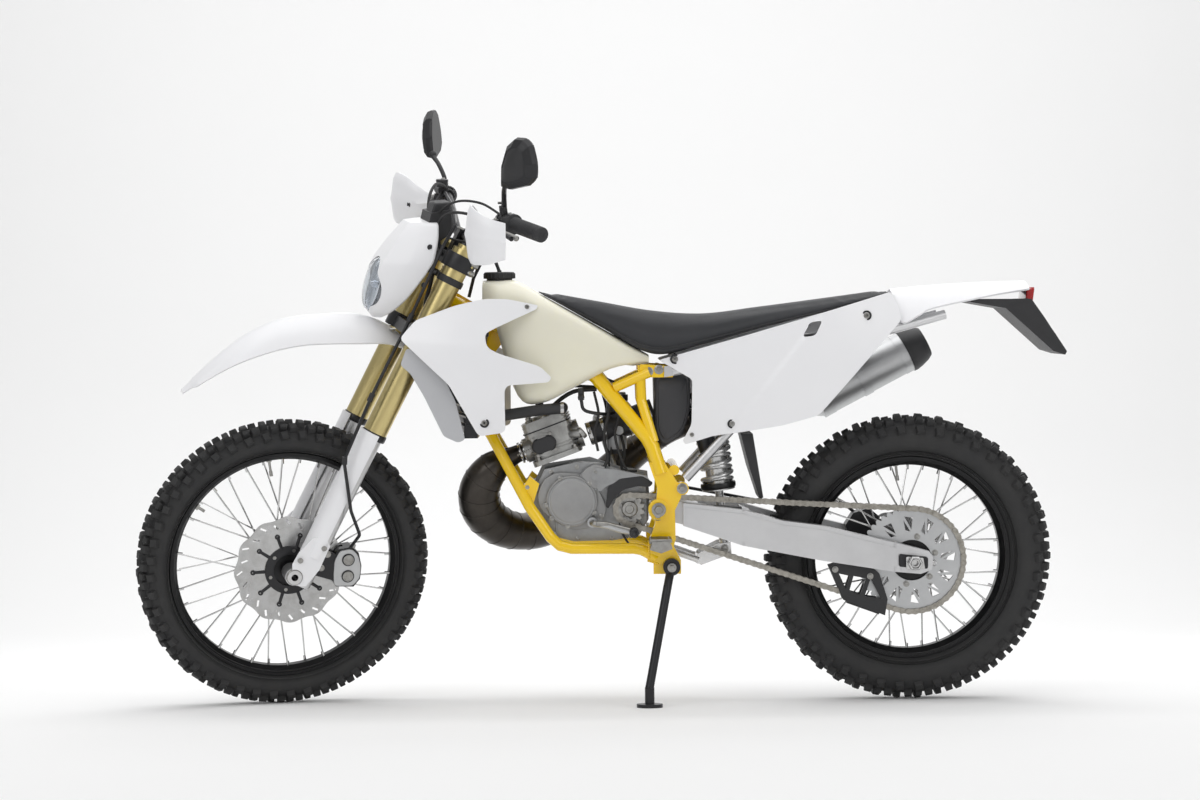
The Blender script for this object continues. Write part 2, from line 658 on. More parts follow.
def archRing(x, w, top, drop, crown=0.0, t=4, n=28):
    out = []
    for k in range(n + 1):
        s = 1 - 2 * k / n
        lift = crown * max(0, 1 - (s / 0.45) ** 2) ** 2
        out.append(Vector((x, w * s, top - drop * abs(s) ** 2.4 + lift)))
    for k in range(n, -1, -1):
        s = 1 - 2 * k / n
        lift = crown * max(0, 1 - (s / 0.45) ** 2) ** 2
        out.append(Vector((x, (w - t) * s, top - t - drop * abs(s) ** 2.4 + lift)))
    return out


def runRows(rows, steps):
    # Numbers of each row run smoothly to the next row
    wide = max(len(r) for r in rows)
    full = [tuple(r) + (2.6,) * (wide - len(r)) for r in rows]
    out = []
    for i in range(len(full) - 1):
        a = full[i - 1] if i else None
        b, c = full[i], full[i + 1]
        d = full[i + 2] if i + 2 < len(full) else None
        for k in range(steps):
            t = k / steps
            row = []
            for j in range(wide):
                m0 = (c[j] - a[j]) / 2 if a else c[j] - b[j]
                m1 = (d[j] - b[j]) / 2 if d else c[j] - b[j]
                h = t * t * (3 - 2 * t)
                row.append(b[j] + (c[j] - b[j]) * h + m0 * t * (1 - t) ** 2 - m1 * t * t * (1 - t))
            out.append(row)
    out.append(list(full[-1]))
    return out


def soften(points, r, steps=5):
    # Outline with its corners rounded
    p = [Vector(q) for q in points]
    out = []
    for i, b in enumerate(p):
        a, c = p[i - 1], p[(i + 1) % len(p)]
        t = min(r, (a - b).length / 2.3, (c - b).length / 2.3)
        u, v = b + (a - b).normalized() * t, b + (c - b).normalized() * t
        for k in range(steps + 1):
            s = k / steps
            out.append(u * (1 - s) ** 2 + b * 2 * s * (1 - s) + v * s * s)
    return out


def bowlAt(x, z, cx, cz, out, r):
    return out - r + math.sqrt(r * r - (x - cx) ** 2 - (z - cz) ** 2)


def beside(x, z, a, b):
    # How far (x, z) is to the left of the line from a to b
    dx, dz = b[0] - a[0], b[1] - a[1]
    return (dx * (z - a[1]) - dz * (x - a[0])) / math.hypot(dx, dz)


def smoothStep(v):
    v = max(0.0, min(1.0, v))
    return v * v * (3 - 2 * v)


shroud = {"middle": (430, 800), "out": 188, "bowl": 520, "fold": ((301, 866), (560, 842)),
          "rear": ((470, 640), (470, 960)), "sheet": 3.0}
sidePanel = {"middle": (1170, 790), "out": 140, "bowl": 1100, "crease": ((1260, 910), (1046, 640)), "step": 5,
             "sheet": 3.0}


def shroudDepth(x, z):
    y = bowlAt(x, z, *shroud["middle"], shroud["out"], shroud["bowl"])
    fold = beside(x, z, *shroud["fold"])
    rear = -beside(x, z, *shroud["rear"]) / 60
    return y - 0.16 * max(0.0, fold) * smoothStep(fold / 14) - 2.5 * smoothStep(rear)


def panelDepth(x, z):
    y = bowlAt(x, z, *sidePanel["middle"], sidePanel["out"], sidePanel["bowl"])
    return y - sidePanel["step"] * (1 - smoothStep((beside(x, z, *sidePanel["crease"]) + 4) / 9))


shroudOutline = soften([(301, 872), (337, 913), (426, 945), (494, 960), (546, 959), (616, 944), (612, 935),
                        (523, 895), (495, 881), (500, 850), (525, 836), (619, 805), (645, 779), (638, 768),
                        (546, 763), (538, 752), (538, 655), (477, 647), (412, 767)], 12)
bm = bmesh.new()
panel(bm, shroudOutline, shroudDepth, shroud["sheet"], 8.0)
shroudPiece = piece("shroudPanels", bm, standing, "whitePlastic", "chassis", 40, mirror=True, bevel=1.0)
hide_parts("shrouds")

sideOutline = [(892, 815), (1100, 872), (1296, 927), (1430, 966), (1448, 930), (1454, 901), (1260, 685),
               (1178, 663), (1084, 648), (1017, 639), (953, 619), (947, 628), (967, 666), (969, 770)]
slotHole = soften([(1222, 864), (1238, 897), (1268, 902), (1252, 868)], 9)
bm = bmesh.new()
panel(bm, soften(sideOutline, 9), lambda x, z: -panelDepth(x, z), sidePanel["sheet"], 9.0,
      [slotHole])
left = piece("sidePanelLeft", bm, standing, "whitePlastic", "chassis", 40, bevel=1.0)
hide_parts("side_panels")
bm = bmesh.new()
rightOutline = [(892, 815), (1100, 872), (1296, 927), (1402, 957), (1400, 925), (1330, 820), (1258, 752),
                (1130, 716), (1060, 690), (1010, 668), (969, 668), (969, 770)]
panel(bm, soften(rightOutline, 9), panelDepth, sidePanel["sheet"], 9.0, [slotHole])
piece("sidePanelRight", bm, standing, "whitePlastic", "chassis", 40, bevel=1.0)

# Station, half width, crown height and how far the edges hang below it
fenderRows = [(-226, 30, 776, 5), (-190, 46, 807, 11), (-130, 62, 856, 24), (-77, 68, 892, 38), (-17, 70, 919, 48),
              (40, 71, 930, 50), (100, 70, 933, 52), (178, 64, 931, 54), (247, 50, 907, 36), (296, 42, 868, 16)]
bm = bmesh.new()
rings = []
for x, w, top, drop in runRows(fenderRows, 6):
    tip = smoothStep((x + 226) / 60)
    rings.append(archRing(x, w * (0.55 + 0.45 * tip) if x < -200 else w, top, drop, crown=5 * tip))
skin(bm, rings)
fender = piece("frontMudguard", bm, turned, "whitePlastic", "front_fork", 40, bevel=0.8)
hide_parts("front_fender")

tailRows = [(1438, 82, 970, 28), (1457, 88, 972, 76), (1493, 93, 975, 64), (1525, 95, 978, 50), (1616, 90, 983, 36),
            (1680, 80, 985, 26), (1755, 66, 986, 16)]
bm = bmesh.new()
skin(bm, [archRing(x, w, top, drop, crown=3) for x, w, top, drop in runRows(tailRows, 6)])
tailPiece = piece("rearMudguard", bm, standing, "whitePlastic", "chassis", 40, bevel=0.8)
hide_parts("rear_fender")

# Station, half width, underside, top and the roundness of the top and the underside
tankRows = [(485, 60, 905, 1003, 2.6, 2.6), (520, 92, 840, 1004, 2.6, 2.6), (565, 112, 720, 1001, 3, 4),
            (622, 118, 712, 968, 5, 5), (700, 116, 750, 924, 6, 5), (780, 108, 790, 878, 6, 5),
            (870, 84, 806, 826, 6, 5)]
bm = bmesh.new()
rings = []
for row in runRows(tankRows, 5):
    ring = ovalRing(*row)
    for p in ring:
        # A shallow waist where the knees grip
        waist = math.exp(-((beside(p.x, p.z, (560, 900), (860, 790)) + 18) / 26) ** 2) * smoothStep((p.x - 560) / 80)
        p.y -= math.copysign(min(5.0, abs(p.y)) * waist, p.y)
    rings.append(ring)
skin(bm, rings)
tunnel = bmesh.new()
prism(tunnel, [(430, 600), (430, 975), (600, 890), (770, 812), (900, 790), (900, 600)], -88, 88)
cutter = piece("tunnelCut", tunnel, standing, "tankPlastic", "chassis")
tankPiece = piece("tankShell", bm, standing, "tankPlastic", "chassis", 40)
hollow(tankPiece, cutter, 42)
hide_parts("tank")

fuelCap = {"place": move(523, 0, 1004), "grips": 24, "gripRadius": 35.6}
bm = bmesh.new()
lathe(bm, [(0, -1), (30, -1), (30, 3), (36, 3.5), (36.5, 16), (33.5, 18.6), (20, 18.6), (19, 17.2), (0, 17.2)],
      fuelCap["place"], 64)
for x, y in around(fuelCap["grips"], fuelCap["gripRadius"]):
    rod(bm, fuelCap["place"] @ Vector((x, y, 3.6)), fuelCap["place"] @ Vector((x, y, 15)), 1.9, steps=8)
rod(bm, fuelCap["place"] @ Vector((0, 0, 14)), fuelCap["place"] @ Vector((0, 0, 23)), 6, 5)
piece("fuelCap", bm, standing, "blackPlastic", "chassis", bevel=0.5)

print("bodywork")

# Seat: foam under a stretched cover, blown out by a short cloth run

cover = {"voxel": 0.006, "mass": 0.3, "pressure": 4.0, "stretch": 30, "bending": 4, "frames": 20, "puff": 0.004}
# Rows as for the tank
seatRows = [(612, 60, 975.5, 978, 3, 9), (680, 84, 937, 965, 3, 9), (760, 98, 891, 950, 3, 9),
            (880, 112, 828, 928, 3, 9), (1000, 120, 850, 920, 3, 9), (1130, 122, 885, 934, 3, 9),
            (1280, 116, 920, 952, 3, 9), (1430, 84, 952, 971, 3, 9)]


def seatRing(row, shrink):
    x, w, b, t, q, p = row
    return ovalRing(x, w - shrink, b + shrink * 0.2, t - shrink, q, p, 72)


def makeSeat():
    dense = runRows(seatRows, 10)
    bm = bmesh.new()
    skin(bm, [seatRing(r, min(3.0, (r[3] - r[2]) * 0.2)) for r in dense])
    obj = piece("seatPad", bm, standing, "seatVinyl", "chassis", 60)
    remesh = obj.modifiers.new("even", "REMESH")
    remesh.mode, remesh.voxel_size = "VOXEL", cover["voxel"]
    bpy.context.view_layer.update()
    even = bpy.data.meshes.new_from_object(obj.evaluated_get(bpy.context.evaluated_depsgraph_get()))
    obj.modifiers.clear()
    obj.data = even
    base = [v.co.copy() for v in even.vertices]
    back = (metres @ standing).inverted()
    pins = obj.vertex_groups.new(name="pins")
    for i, co in enumerate(base):
        local = back @ co
        row = min(dense, key=lambda r: abs(r[0] - local.x))
        low = (local.z - row[2]) / max(4.0, row[3] - row[2])
        if low < 0.3 or local.x < 640 or local.x > 1415:
            pins.add([i], 1.0, "REPLACE")
        else:
            pins.add([i], max(0.0, 0.6 - low), "REPLACE")
    s = obj.modifiers.new("cover", "CLOTH").settings
    s.quality, s.mass, s.use_pressure, s.uniform_pressure_force = 5, cover["mass"], True, cover["pressure"]
    s.tension_stiffness = s.compression_stiffness = cover["stretch"]
    s.bending_stiffness = cover["bending"]
    s.vertex_group_mass = "pins"
    s.effector_weights.gravity = 0
    for f in range(1, cover["frames"] + 1):
        bpy.context.scene.frame_set(f)
    blown = bpy.data.meshes.new_from_object(obj.evaluated_get(bpy.context.evaluated_depsgraph_get()))
    bpy.context.scene.frame_set(1)
    obj.modifiers.clear()
    for v, co in zip(blown.vertices, base):
        d = v.co - co
        if d.length > cover["puff"]:
            v.co = co + d.normalized() * cover["puff"]
    obj.data = blown
    obj.data.materials.clear()
    obj.data.materials.append(finishes["seatVinyl"])
    soft = obj.modifiers.new("soft", "SUBSURF")
    soft.levels = soft.render_levels = 1
    smoothMesh(obj.data, 60)
    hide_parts("seat")


makeSeat()

# Edge piping where the cover meets the base
bm = bmesh.new()
for s in (-1, 1):
    path = [(r[0], s * (r[1] - 0.6), r[2] + (r[3] - r[2]) * 0.16) for r in runRows(seatRows, 4)[1:-1]]
    tube(bm, path, 1.5, steps=8, smooth=1)
piece("seatPiping", bm, standing, "blackPlastic", "chassis")
print("seat")


# Headlamp mask, lens and lamp

# Height, front, back, half width of the lamp face and of the whole mask
maskRows = [(928, 219, 238, 14, 26), (944, 209, 258, 27, 48), (975, 204, 286, 40, 72), (1012, 212, 312, 47, 87),
            (1045, 226, 334, 49, 94), (1068, 239, 347, 48, 94), (1108, 268, 358, 38, 85), (1136, 292, 363, 31, 71),
            (1147, 302, 364, 28, 62)]
bm = bmesh.new()
rings = []
for z, front, back, face, w in runRows(maskRows, 6):
    middle = (front + back) / 2
    cheek = face + 0.62 * (w - face)
    outline = soften([(front, -face), (front, face), (middle, cheek), (back - 5, w), (back, w - 3), (back, 3 - w),
                      (back - 5, -w), (middle, -cheek)], 5)
    rings.append([Vector((q.x, q.y, z)) for q in outline])
skin(bm, rings)
lamp = {"centre": (211, 0, 1008), "tilt": 106, "tall": 1.04, "wide": 0.9}
lampWay = move(*lamp["centre"]) @ turn(lamp["tilt"], "Y") @ Matrix.Diagonal((lamp["tall"], lamp["wide"], 1, 1))
cutBm = bmesh.new()
lathe(cutBm, [(0, -60), (58, -60), (62, 24), (0, 24)], lampWay, 64)
cutter = piece("lampCut", cutBm, turned, "whitePlastic", "front_fork")
mask = piece("lampMask", bm, turned, "whitePlastic", "front_fork", 40)
hollow(mask, cutter, 40)
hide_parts("headlight")

bm = bmesh.new()
lathe(bm, [(0, 23), (20, 23), (42, 22), (54, 18), (60, 12), (60.5, 14), (56, 22), (42, 25.5), (20, 26), (0, 26)],
      lampWay, 56)
piece("lampReflector", bm, turned, "reflector", "front_fork")
bm = bmesh.new()
rod(bm, lampWay @ Vector((0, 0, 12)), lampWay @ Vector((0, 0, 23)), 9)
rod(bm, lampWay @ Vector((0, 0, 12)), lampWay @ Vector((0, 0, 5)), 5.5, 4)
piece("lampBulb", bm, turned, "reflector", "front_fork")
bm = bmesh.new()
outer = [(60.5, 24), (60.5, 13), (57, 6), (48, 1), (34, -2.5), (18, -4.4), (0, -5)]
inner = [(0, -2.5), (18, -2), (33, -0.4), (46, 3), (54.5, 8), (57.8, 14), (57.8, 24)]
lathe(bm, outer + inner, lampWay, 56, closed=True)
piece("lampLens", bm, turned, "clearLens", "front_fork", 60)
bm = bmesh.new()
for s in (-1, 1):
    lathe(bm, [(28.4, -8), (31, -8), (31.6, 0), (31, 8), (28.4, 8)], onLeg(s, 1135), 40, closed=True)
piece("maskStraps", bm, alongFork, "blackPlastic", "front_fork", bevel=0.6)
bm = bmesh.new()
for s in (-1, 1):
    rod(bm, (330, s * 74, 1046), (352, s * 92, 1038), 4)
    bolt(bm, facing(322, s * 88.5, 1010), 4.4)
    bolt(bm, facing(338, s * 83.5, 1096), 4.4)
prism(bm, [(330, 1080), (402, 1120), (398, 1176), (352, 1168)], -42, 42)
piece("dashMount", bm, turned, "blackPlastic", "front_fork", bevel=3)
bm = bmesh.new()
prism(bm, [(352, 1160), (398, 1170), (402, 1192), (362, 1190)], -36, 20)
piece("dashClock", bm, turned, "blackPlastic", "front_fork", bevel=4)


# Screws and bolts

bm = bmesh.new()
for s in (-1, 1):
    for x, z, r in ((491, 678, 6.5), (591, 941, 5.5)):
        socketScrew(bm, facing(x, s * shroudDepth(x, z), z), r)
    for x, z, r in ((930, 817, 7), (1371, 912, 7), (1060, 667, 6.5), (968, 642, 5)):
        if s > 0 and x < 1000 and z < 700:
            continue
        socketScrew(bm, facing(x, s * panelDepth(x, z), z), r)
piece("panelScrews", bm, standing, "boltSteel", "chassis")
bm = bmesh.new()
for s in (-1, 1):
    for x, z, r in ((491, 678, 11), (930, 817, 11.5), (1371, 912, 11.5), (1060, 667, 11)):
        y = s * (shroudDepth if x < 700 else panelDepth)(x, z)
        lathe(bm, [(r, -2), (r, 0.6), (r - 1.6, 1.1), (r - 4, 0.7), (r - 4, -2)], facing(x, y, z), 28, closed=True)
piece("screwSeats", bm, standing, "blackMetal", "chassis")

bm = bmesh.new()
for s in (-1, 1):
    for x, y, z, r in ((944, 118, 518, 7.5), (887, 118, 458, 9), (893, 98, 793, 6), (870, 98, 789, 5),
                       (584, 78, 522, 6), (640, 80, 408, 6)):
        lathe(bm, [(r + 5, -1), (r + 5, 1.4), (r + 3.6, 2), (0, 2)], facing(x, s * y, z), 28)
        bolt(bm, facing(x, s * (y + 1.6), z), r, False)
    bolt(bm, facing(889, s * 128, 470), 11)
    bolt(bm, facing(1046, s * 46.5, 370), 6)
    bolt(bm, facing(1301, -95.6, 322), 5)
    bolt(bm, facing(1383, -95.6, 305), 5)
piece("chassisBolts", bm, standing, "boltSteel", "chassis")

bm = bmesh.new()
for s in (-1, 1):
    for z in (982, 996, 1171, 1185):
        socketScrew(bm, move(-4, s * 70, z) @ turn(90 * s, "X"), 4.4)
        rod(bm, (-58, s * 118, z), (-2, s * 128, z), 3.6, steps=12)
    # Fork caps: a gold collar, a hexagon and its adjuster
    lathe(bm, [(0, 1190), (25, 1190), (25, 1202), (22, 1206), (0, 1206)], onLeg(s), 40)
    lathe(bm, [(0, 1204), (17, 1204), (17, 1212), (15, 1214), (0, 1214)], onLeg(s), 6)
    rod(bm, (-28, s * 98, 1212), (-28, s * 98, 1219), 6)
piece("forkCaps", bm, alongFork, "forkGold", "front_fork", bevel=0.6)
bm = bmesh.new()
for s in (-1, 1):
    # Dust seals at the foot of the gold tubes
    lathe(bm, [(24.2, 728), (29.2, 728), (30.4, 732), (30.4, 742), (28.6, 745), (24.2, 745)],
          onLeg(s), 44, closed=True)
    for z in (975, 1164):
        lathe(bm, [(28.2, z - 1), (38, z - 1), (38.6, z + 3), (38.6, z + 31), (38, z + 35), (28.2, z + 35)],
              onLeg(s), 48, closed=True)
piece("forkSeals", bm, alongFork, "blackMetal", "front_fork", bevel=0.5)
bm = bmesh.new()
for s in (-1, 1):
    for z in (982, 1002, 1171, 1191):
        bolt(bm, move(4, s * 124, z) @ turn(90, "Y"), 4.6)
        rod(bm, (-30, s * 128, z), (8, s * 122, z), 7, steps=16)
for y in (-52, -34, 34, 52):
    bolt(bm, move(8, y, 1253), 4.2)
    bolt(bm, move(-18, y, 1253), 4.2)
lathe(bm, [(0, 1200), (17, 1200), (17, 1208), (14, 1211), (0, 1211)], Matrix.Identity(4), 6)
piece("clampBolts", bm, alongFork, "boltSteel", "front_fork", bevel=0.4)

# Guard screws and a collar at the foot of each leg
bm = bmesh.new()
for s in (-1, 1):
    bolt(bm, facing(-62, s * 133, 404), 4.4)
    bolt(bm, facing(-24, s * 133, 452), 4.4)
    lathe(bm, [(13, -2), (19, -2), (19, 4), (17, 6), (13, 6)], facing(-55, s * 122, 361.4), 40, closed=True)
piece("forkFootBolts", bm, alongFork, "boltSteel", "front_fork", bevel=0.4)
print("mask and bolts")


# Wheels: rolled rim edges, valves, rim locks and hub bolts

wheels = {
    "front": {"rim": tyres["front"]["rim"], "half": 26, "discY": -62.5, "discBolts": 6, "discRadius": 48},
    "rear": {"rim": tyres["rear"]["rim"], "half": 32, "discY": -81.4, "discBolts": 6, "discRadius": 57},
}


def wheelTrim(end, hub):
    wheel = wheels[end]
    rim, half = wheel["rim"], wheel["half"]
    bm = bmesh.new()
    for s in (-1, 1):
        lathe(bm, [(rim - 3, s * (half - 3.4)), (rim + 1.4, s * (half - 3.6)), (rim + 2.6, s * (half - 1.2)),
                   (rim + 1.2, s * (half + 0.4)), (rim - 3, s * (half - 0.4))], acrossAxis, 120, closed=True)
    piece(end + "RimEdge", bm, hub, "rimBlack", end + "_wheel")
    bm = bmesh.new()
    a = math.radians(97)  # the valve
    d = Vector((math.cos(a), 0, math.sin(a)))
    rod(bm, d * (rim - 18), d * (rim - 54), 3.2, 2.8)
    rod(bm, d * (rim - 44), d * (rim - 56), 4.2)
    rod(bm, d * (rim - 16), d * (rim - 21), 6.5, steps=6)
    a = math.radians(143)  # the rim lock
    d = Vector((math.cos(a), 0, math.sin(a)))
    rod(bm, d * (rim - 16), d * (rim - 40), 3.6)
    rod(bm, d * (rim - 16), d * (rim - 24), 7.5, steps=6)
    for x, z in around(wheel["discBolts"], wheel["discRadius"], start=0.3):
        bolt(bm, facing(x, wheel["discY"], z))
    return bm


bm = wheelTrim("front", frontHub)
piece("frontHubBolts", bm, frontHub, "boltSteel", "front_wheel")
bm = wheelTrim("rear", rearHub)
for x, z in around(4, 50, start=0.4):
    bolt(bm, facing(x, 67, z), 4.6)
piece("rearHubBolts", bm, rearHub, "boltSteel", "rear_wheel")

# Axle nut, adjusting blocks and their screws at the rear
wheelbase, rearAxle = machine["wheelbase"], machine["rearRadius"]
bm = bmesh.new()
for s in (-1, 1):
    lathe(bm, [(13, 0), (17.5, 0), (17.5, 10), (15.5, 12), (13, 12)], facing(wheelbase, s * 134, rearAxle), 6,
          closed=True)
    prism(bm, soften([(1462, 324), (1462, 354), (1502, 351), (1506, 325)], 3), *sorted((s * 121.5, s * 130)))
    rod(bm, (1506, s * 112, 338), (1530, s * 112, 336), 5, steps=20)
    bolt(bm, move(1531, s * 106, 336) @ turn(93, "Y"), 5.5)
    lathe(bm, [(7, 0), (10, 0), (10, 4), (7, 4)], facing(wheelbase, s * 138, rearAxle), 24, closed=True)
piece("axleBlocks", bm, standing, "brightSteel", "chassis", bevel=0.6)
bm = bmesh.new()
for s in (-1, 1):
    # The slot behind each block
    prism(bm, soften([(1446, 330), (1446, 360), (1514, 352), (1514, 324)], 6), *sorted((s * 120.4, s * 121.6)))
piece("axleSlots", bm, standing, "blackMetal", "chassis")
bm = bmesh.new()
for s in (-1, 1):
    for x, low, high in ((1086, 384, 466), (1438, 318, 386)):
        for k in range(26):
            z = low + (high - low) * (k + 0.5) / 26
            rod(bm, (x - 2.4, s * 118.2, z), (x + 2.4, s * 118.2, z), 2.1, steps=8)
piece("swingarmWelds", bm, standing, "brushedAlloy", "chassis")
print("wheel trim")


# Engine dressing

def coverDisc(bm, x, z, y, profile, steps=64):
    lathe(bm, profile, facing(x, y, z), steps)


covers = {"left": (687, 488), "right": (712, 478), "leftScrews": 5, "leftRing": 58.5, "rightScrews": 9,
          "rightRing": 72}
bm = bmesh.new()
coverDisc(bm, *covers["left"], -88, [(0, 4.5), (25, 4.5), (27, 3.6), (46, 3.4), (51, 2.2), (54.5, -1),
                                     (54.5, -4), (0, -4)])
coverDisc(bm, *covers["left"], -84, [(54, -6), (60, -6), (60, -1), (58.5, 1), (54, 1)], 72)
prism(bm, soften([(708, 548), (722, 566), (744, 574), (764, 568), (772, 550), (762, 528), (742, 514)], 8), -85.5, -80)
prism(bm, soften([(640, 446), (612, 470), (606, 505), (622, 540), (652, 556), (700, 552), (748, 520), (770, 470),
                  (758, 440), (730, 424), (690, 420)], 14), -76, -69)
coverDisc(bm, *covers["right"], 94, [(0, 5), (40, 5), (54, 3), (58.5, -2), (58.5, -6), (0, -6)])
coverDisc(bm, *covers["right"], 86, [(58, -6), (77, -6), (77, -1), (74, 2), (58, 3)], 72)
piece("coverSkins", bm, standing, "coverAlloy", "chassis", bevel=1.2)
leftScrews = around(covers["leftScrews"], covers["leftRing"], *covers["left"], math.radians(44))
rightScrews = around(covers["rightScrews"], covers["rightRing"], *covers["right"], 0.2)
bm = bmesh.new()
for x, z in leftScrews:
    lathe(bm, [(0, -8), (6.4, -8), (6.4, 1.5), (0, 1.5)], facing(x, -84, z), 20)
for x, z in rightScrews:
    lathe(bm, [(0, -8), (7, -8), (7, 1.5), (0, 1.5)], facing(x, 87, z), 20)
piece("coverEars", bm, standing, "coverAlloy", "chassis", bevel=0.8)
bm = bmesh.new()
for x, z in leftScrews:
    bolt(bm, facing(x, -85.6, z), 3.6)
for x, z in rightScrews:
    bolt(bm, facing(x, 88.6, z), 3.8)
for x, z in ((744, 556), (640, 448), (756, 452)):
    bolt(bm, facing(x, -86, z), 3.8)
for x, z in ((610, 460), (612, 508), (640, 556), (700, 566), (842, 430), (850, 520), (700, 398), (780, 398)):
    bolt(bm, facing(x, -64.4, z), 3.6)
    bolt(bm, facing(x, 70.4, z), 3.6)
piece("coverBolts", bm, standing, "boltSteel", "chassis")

# Case joint flange and ribs
bm = bmesh.new()
for x in (624, 648):
    prism(bm, [(x, 400), (x + 4, 400), (x + 4, 470), (x, 470)], -68, -60)
for s in (-1, 1):
    for k in range(4):
        rod(bm, (806 + 9 * k, s * 64.5, 398), (822 + 9 * k, s * 64.5, 436), 2.4, steps=10)
    rod(bm, (735, -62, 439), (735, -88, 439), 11)
piece("caseRibs", bm, standing, "castAlloy", "chassis", bevel=0.8)

# Output sprocket with its teeth, collar and chain guard
bm = bmesh.new()
shaftX, shaftZ = chain["shaft"]
teeth = []
for k in range(4 * chain["pinion"]):
    a = 2 * math.pi * k / (4 * chain["pinion"])
    q = 33.2 + (-5.5, 1.0, 3.0, 1.0)[k % 4]
    teeth.append((shaftX + q * math.cos(a), shaftZ + q * math.sin(a)))
prism(bm, teeth, -81, -75)
coverDisc(bm, shaftX, shaftZ, -82, [(0, 6), (9, 6), (10, 3), (17, 3), (19, 0), (19, -3), (0, -3)], 36)
for x, z in around(5, 14, shaftX, shaftZ):
    bolt(bm, facing(x, -85, z), 2.6, False)
piece("outputSprocket", bm, standing, "boltSteel", "chassis", bevel=0.4)
bm = bmesh.new()
prism(bm, soften([(772, 520), (800, 540), (852, 546), (878, 530), (870, 520), (840, 522), (808, 514), (784, 492),
                  (772, 470), (766, 476)], 6), -90, -85)
piece("sprocketGuard", bm, standing, "blackPlastic", "chassis", bevel=0.8)

# Cylinder: joint lines, studs, power-valve cover, fittings, plug and lead
tilt = move(668, 0, 570) @ turn(-20, "Y")
bm = bmesh.new()
for h in (29.5, 97.5):
    outline = [(p.x, p.y) for p in flatRing(0, -62, 57, 60.5, 5, 40)]
    skin(bm, [[tilt @ Vector((x - 3, y, z)) for x, y in outline] for z in (h - 0.9, h + 0.9)])
piece("cylinderJoints", bm, standing, "blackMetal", "chassis")
bm = bmesh.new()
for k in range(6):
    a = math.radians(60 * k + 30)
    c, s = 44 * math.cos(a) - 3, 44 * math.sin(a)
    lathe(bm, [(0, 119), (9.5, 119), (9.5, 124), (8.5, 125.5), (0, 125.5)], tilt @ move(c, s, 0), 24)
    lathe(bm, [(0, 125), (6.2, 125), (6.2, 132), (5.2, 133), (0, 133)], tilt @ move(c, s, 0), 6)
for x, y in ((-48, -58), (42, -58), (-48, 58), (42, 58)):
    lathe(bm, [(0, 28), (7, 28), (7, 31), (0, 31)], tilt @ move(x, y, 0), 18)
    lathe(bm, [(0, 31), (5, 31), (5, 38), (0, 38)], tilt @ move(x, y, 0), 6)
for x in (-46, -2):
    for z in (42, 82):
        lathe(bm, [(0, 0), (4.4, 0), (4.4, 4), (0, 4)], tilt @ move(x, -66, z) @ turn(90, "X"), 6)
piece("cylinderStuds", bm, standing, "boltSteel", "chassis", bevel=0.4)
bm = bmesh.new()
corners = [math.radians(a) for a in (0, 48, 132, 180, 228, 312)]
hexa = soften([(32 * math.cos(a), 25 * math.sin(a)) for a in corners], 9)
for low, high, k in ((-72, -66, 1.0), (-74.5, -72, 0.9)):
    skin(bm, [[tilt @ Vector((-24 + x * k, y, 62 + z * k)) for x, z in hexa] for y in (high, low)])
piece("valveCover", bm, standing, "blackPlastic", "chassis", bevel=1.6)
bm = bmesh.new()
outline = [(p.x, p.y) for p in flatRing(0, -60, 55, 55, 6, 40)]
for h in (44, 50.5, 88, 104, 111):
    skin(bm, [[tilt @ Vector(((x + 2.5) * k - 3, y * k, z)) for x, y in outline] for z, k in
              ((h - 1.5, 0.985), (h - 0.8, 1.022), (h + 0.8, 1.022), (h + 1.5, 0.985))])
tube(bm, [tilt @ Vector(p) for p in ((40, -40, 62), (52, -52, 60), (66, -58, 56))], 11, smooth=5)
lathe(bm, [(9, -2), (14.5, -2), (14.5, 6), (12, 8), (9, 8)], tilt @ move(66, -58, 56) @ turn(70, "Y"), 28,
      closed=True)
piece("cylinderBands", bm, standing, "cylinderAlloy", "chassis", bevel=0.5)
bm = bmesh.new()
tube(bm, [tilt @ Vector(p) for p in ((-3, 0, 138), (-3, 0, 158), (6, 2, 176), (24, 6, 186))], 9.5, smooth=5)
tube(bm, [tilt @ Vector((24, 6, 186)), (716, 20, 752), (770, 30, 742), (800, 40, 700)], 3.6, smooth=6)
# Cables, breathers and the loom beside the carburettor
for points, r in (
        ([(795, -10, 722), (792, -30, 760), (730, -52, 782), (640, -40, 800)], 3.4),
        ([(770, -62, 760), (776, -66, 700), (764, -70, 640), (772, -72, 590), (764, -78, 566)], 4.0),
        ([(790, -58, 752), (800, -60, 690), (790, -62, 640), (806, -66, 580), (822, -70, 548)], 3.2),
        ([(742, -58, 742), (752, -66, 690), (742, -68, 650), (750, -72, 604)], 3.2),
        ([(804, -24, 640), (812, -46, 600), (806, -60, 560), (840, -70, 556)], 3.4),
        ([(782, -18, 610), (776, -34, 560), (800, -66, 424), (830, -80, 372)], 2.6),
        ([(800, 26, 640), (812, 46, 600), (806, 66, 560), (830, 76, 552)], 3.4),
        ([(760, 60, 744), (772, 68, 690), (764, 70, 640), (776, 74, 590)], 4.0),
        ([(640, -40, 704), (668, -46, 728), (700, -52, 744), (748, -58, 748)], 5.0)):
    tube(bm, points, r, steps=10, smooth=6)
piece("engineHoses", bm, standing, "rubber", "chassis")
bm = bmesh.new()
for a, b, r in (((729, 0, 640.7), (737, 0, 643.2), 28.4), ((760, 0, 651), (768, 0, 653.6), 28.6),
                ((820, 0, 666), (829, 0, 669.4), 34), ((868, 0, 684), (877, 0, 687.2), 34.4)):
    rod(bm, a, b, r, steps=40)
    rod(bm, (a[0] + 2, -r - 1, a[2]), (a[0] + 2, -r - 1, a[2] + 16), 2.6, steps=12)
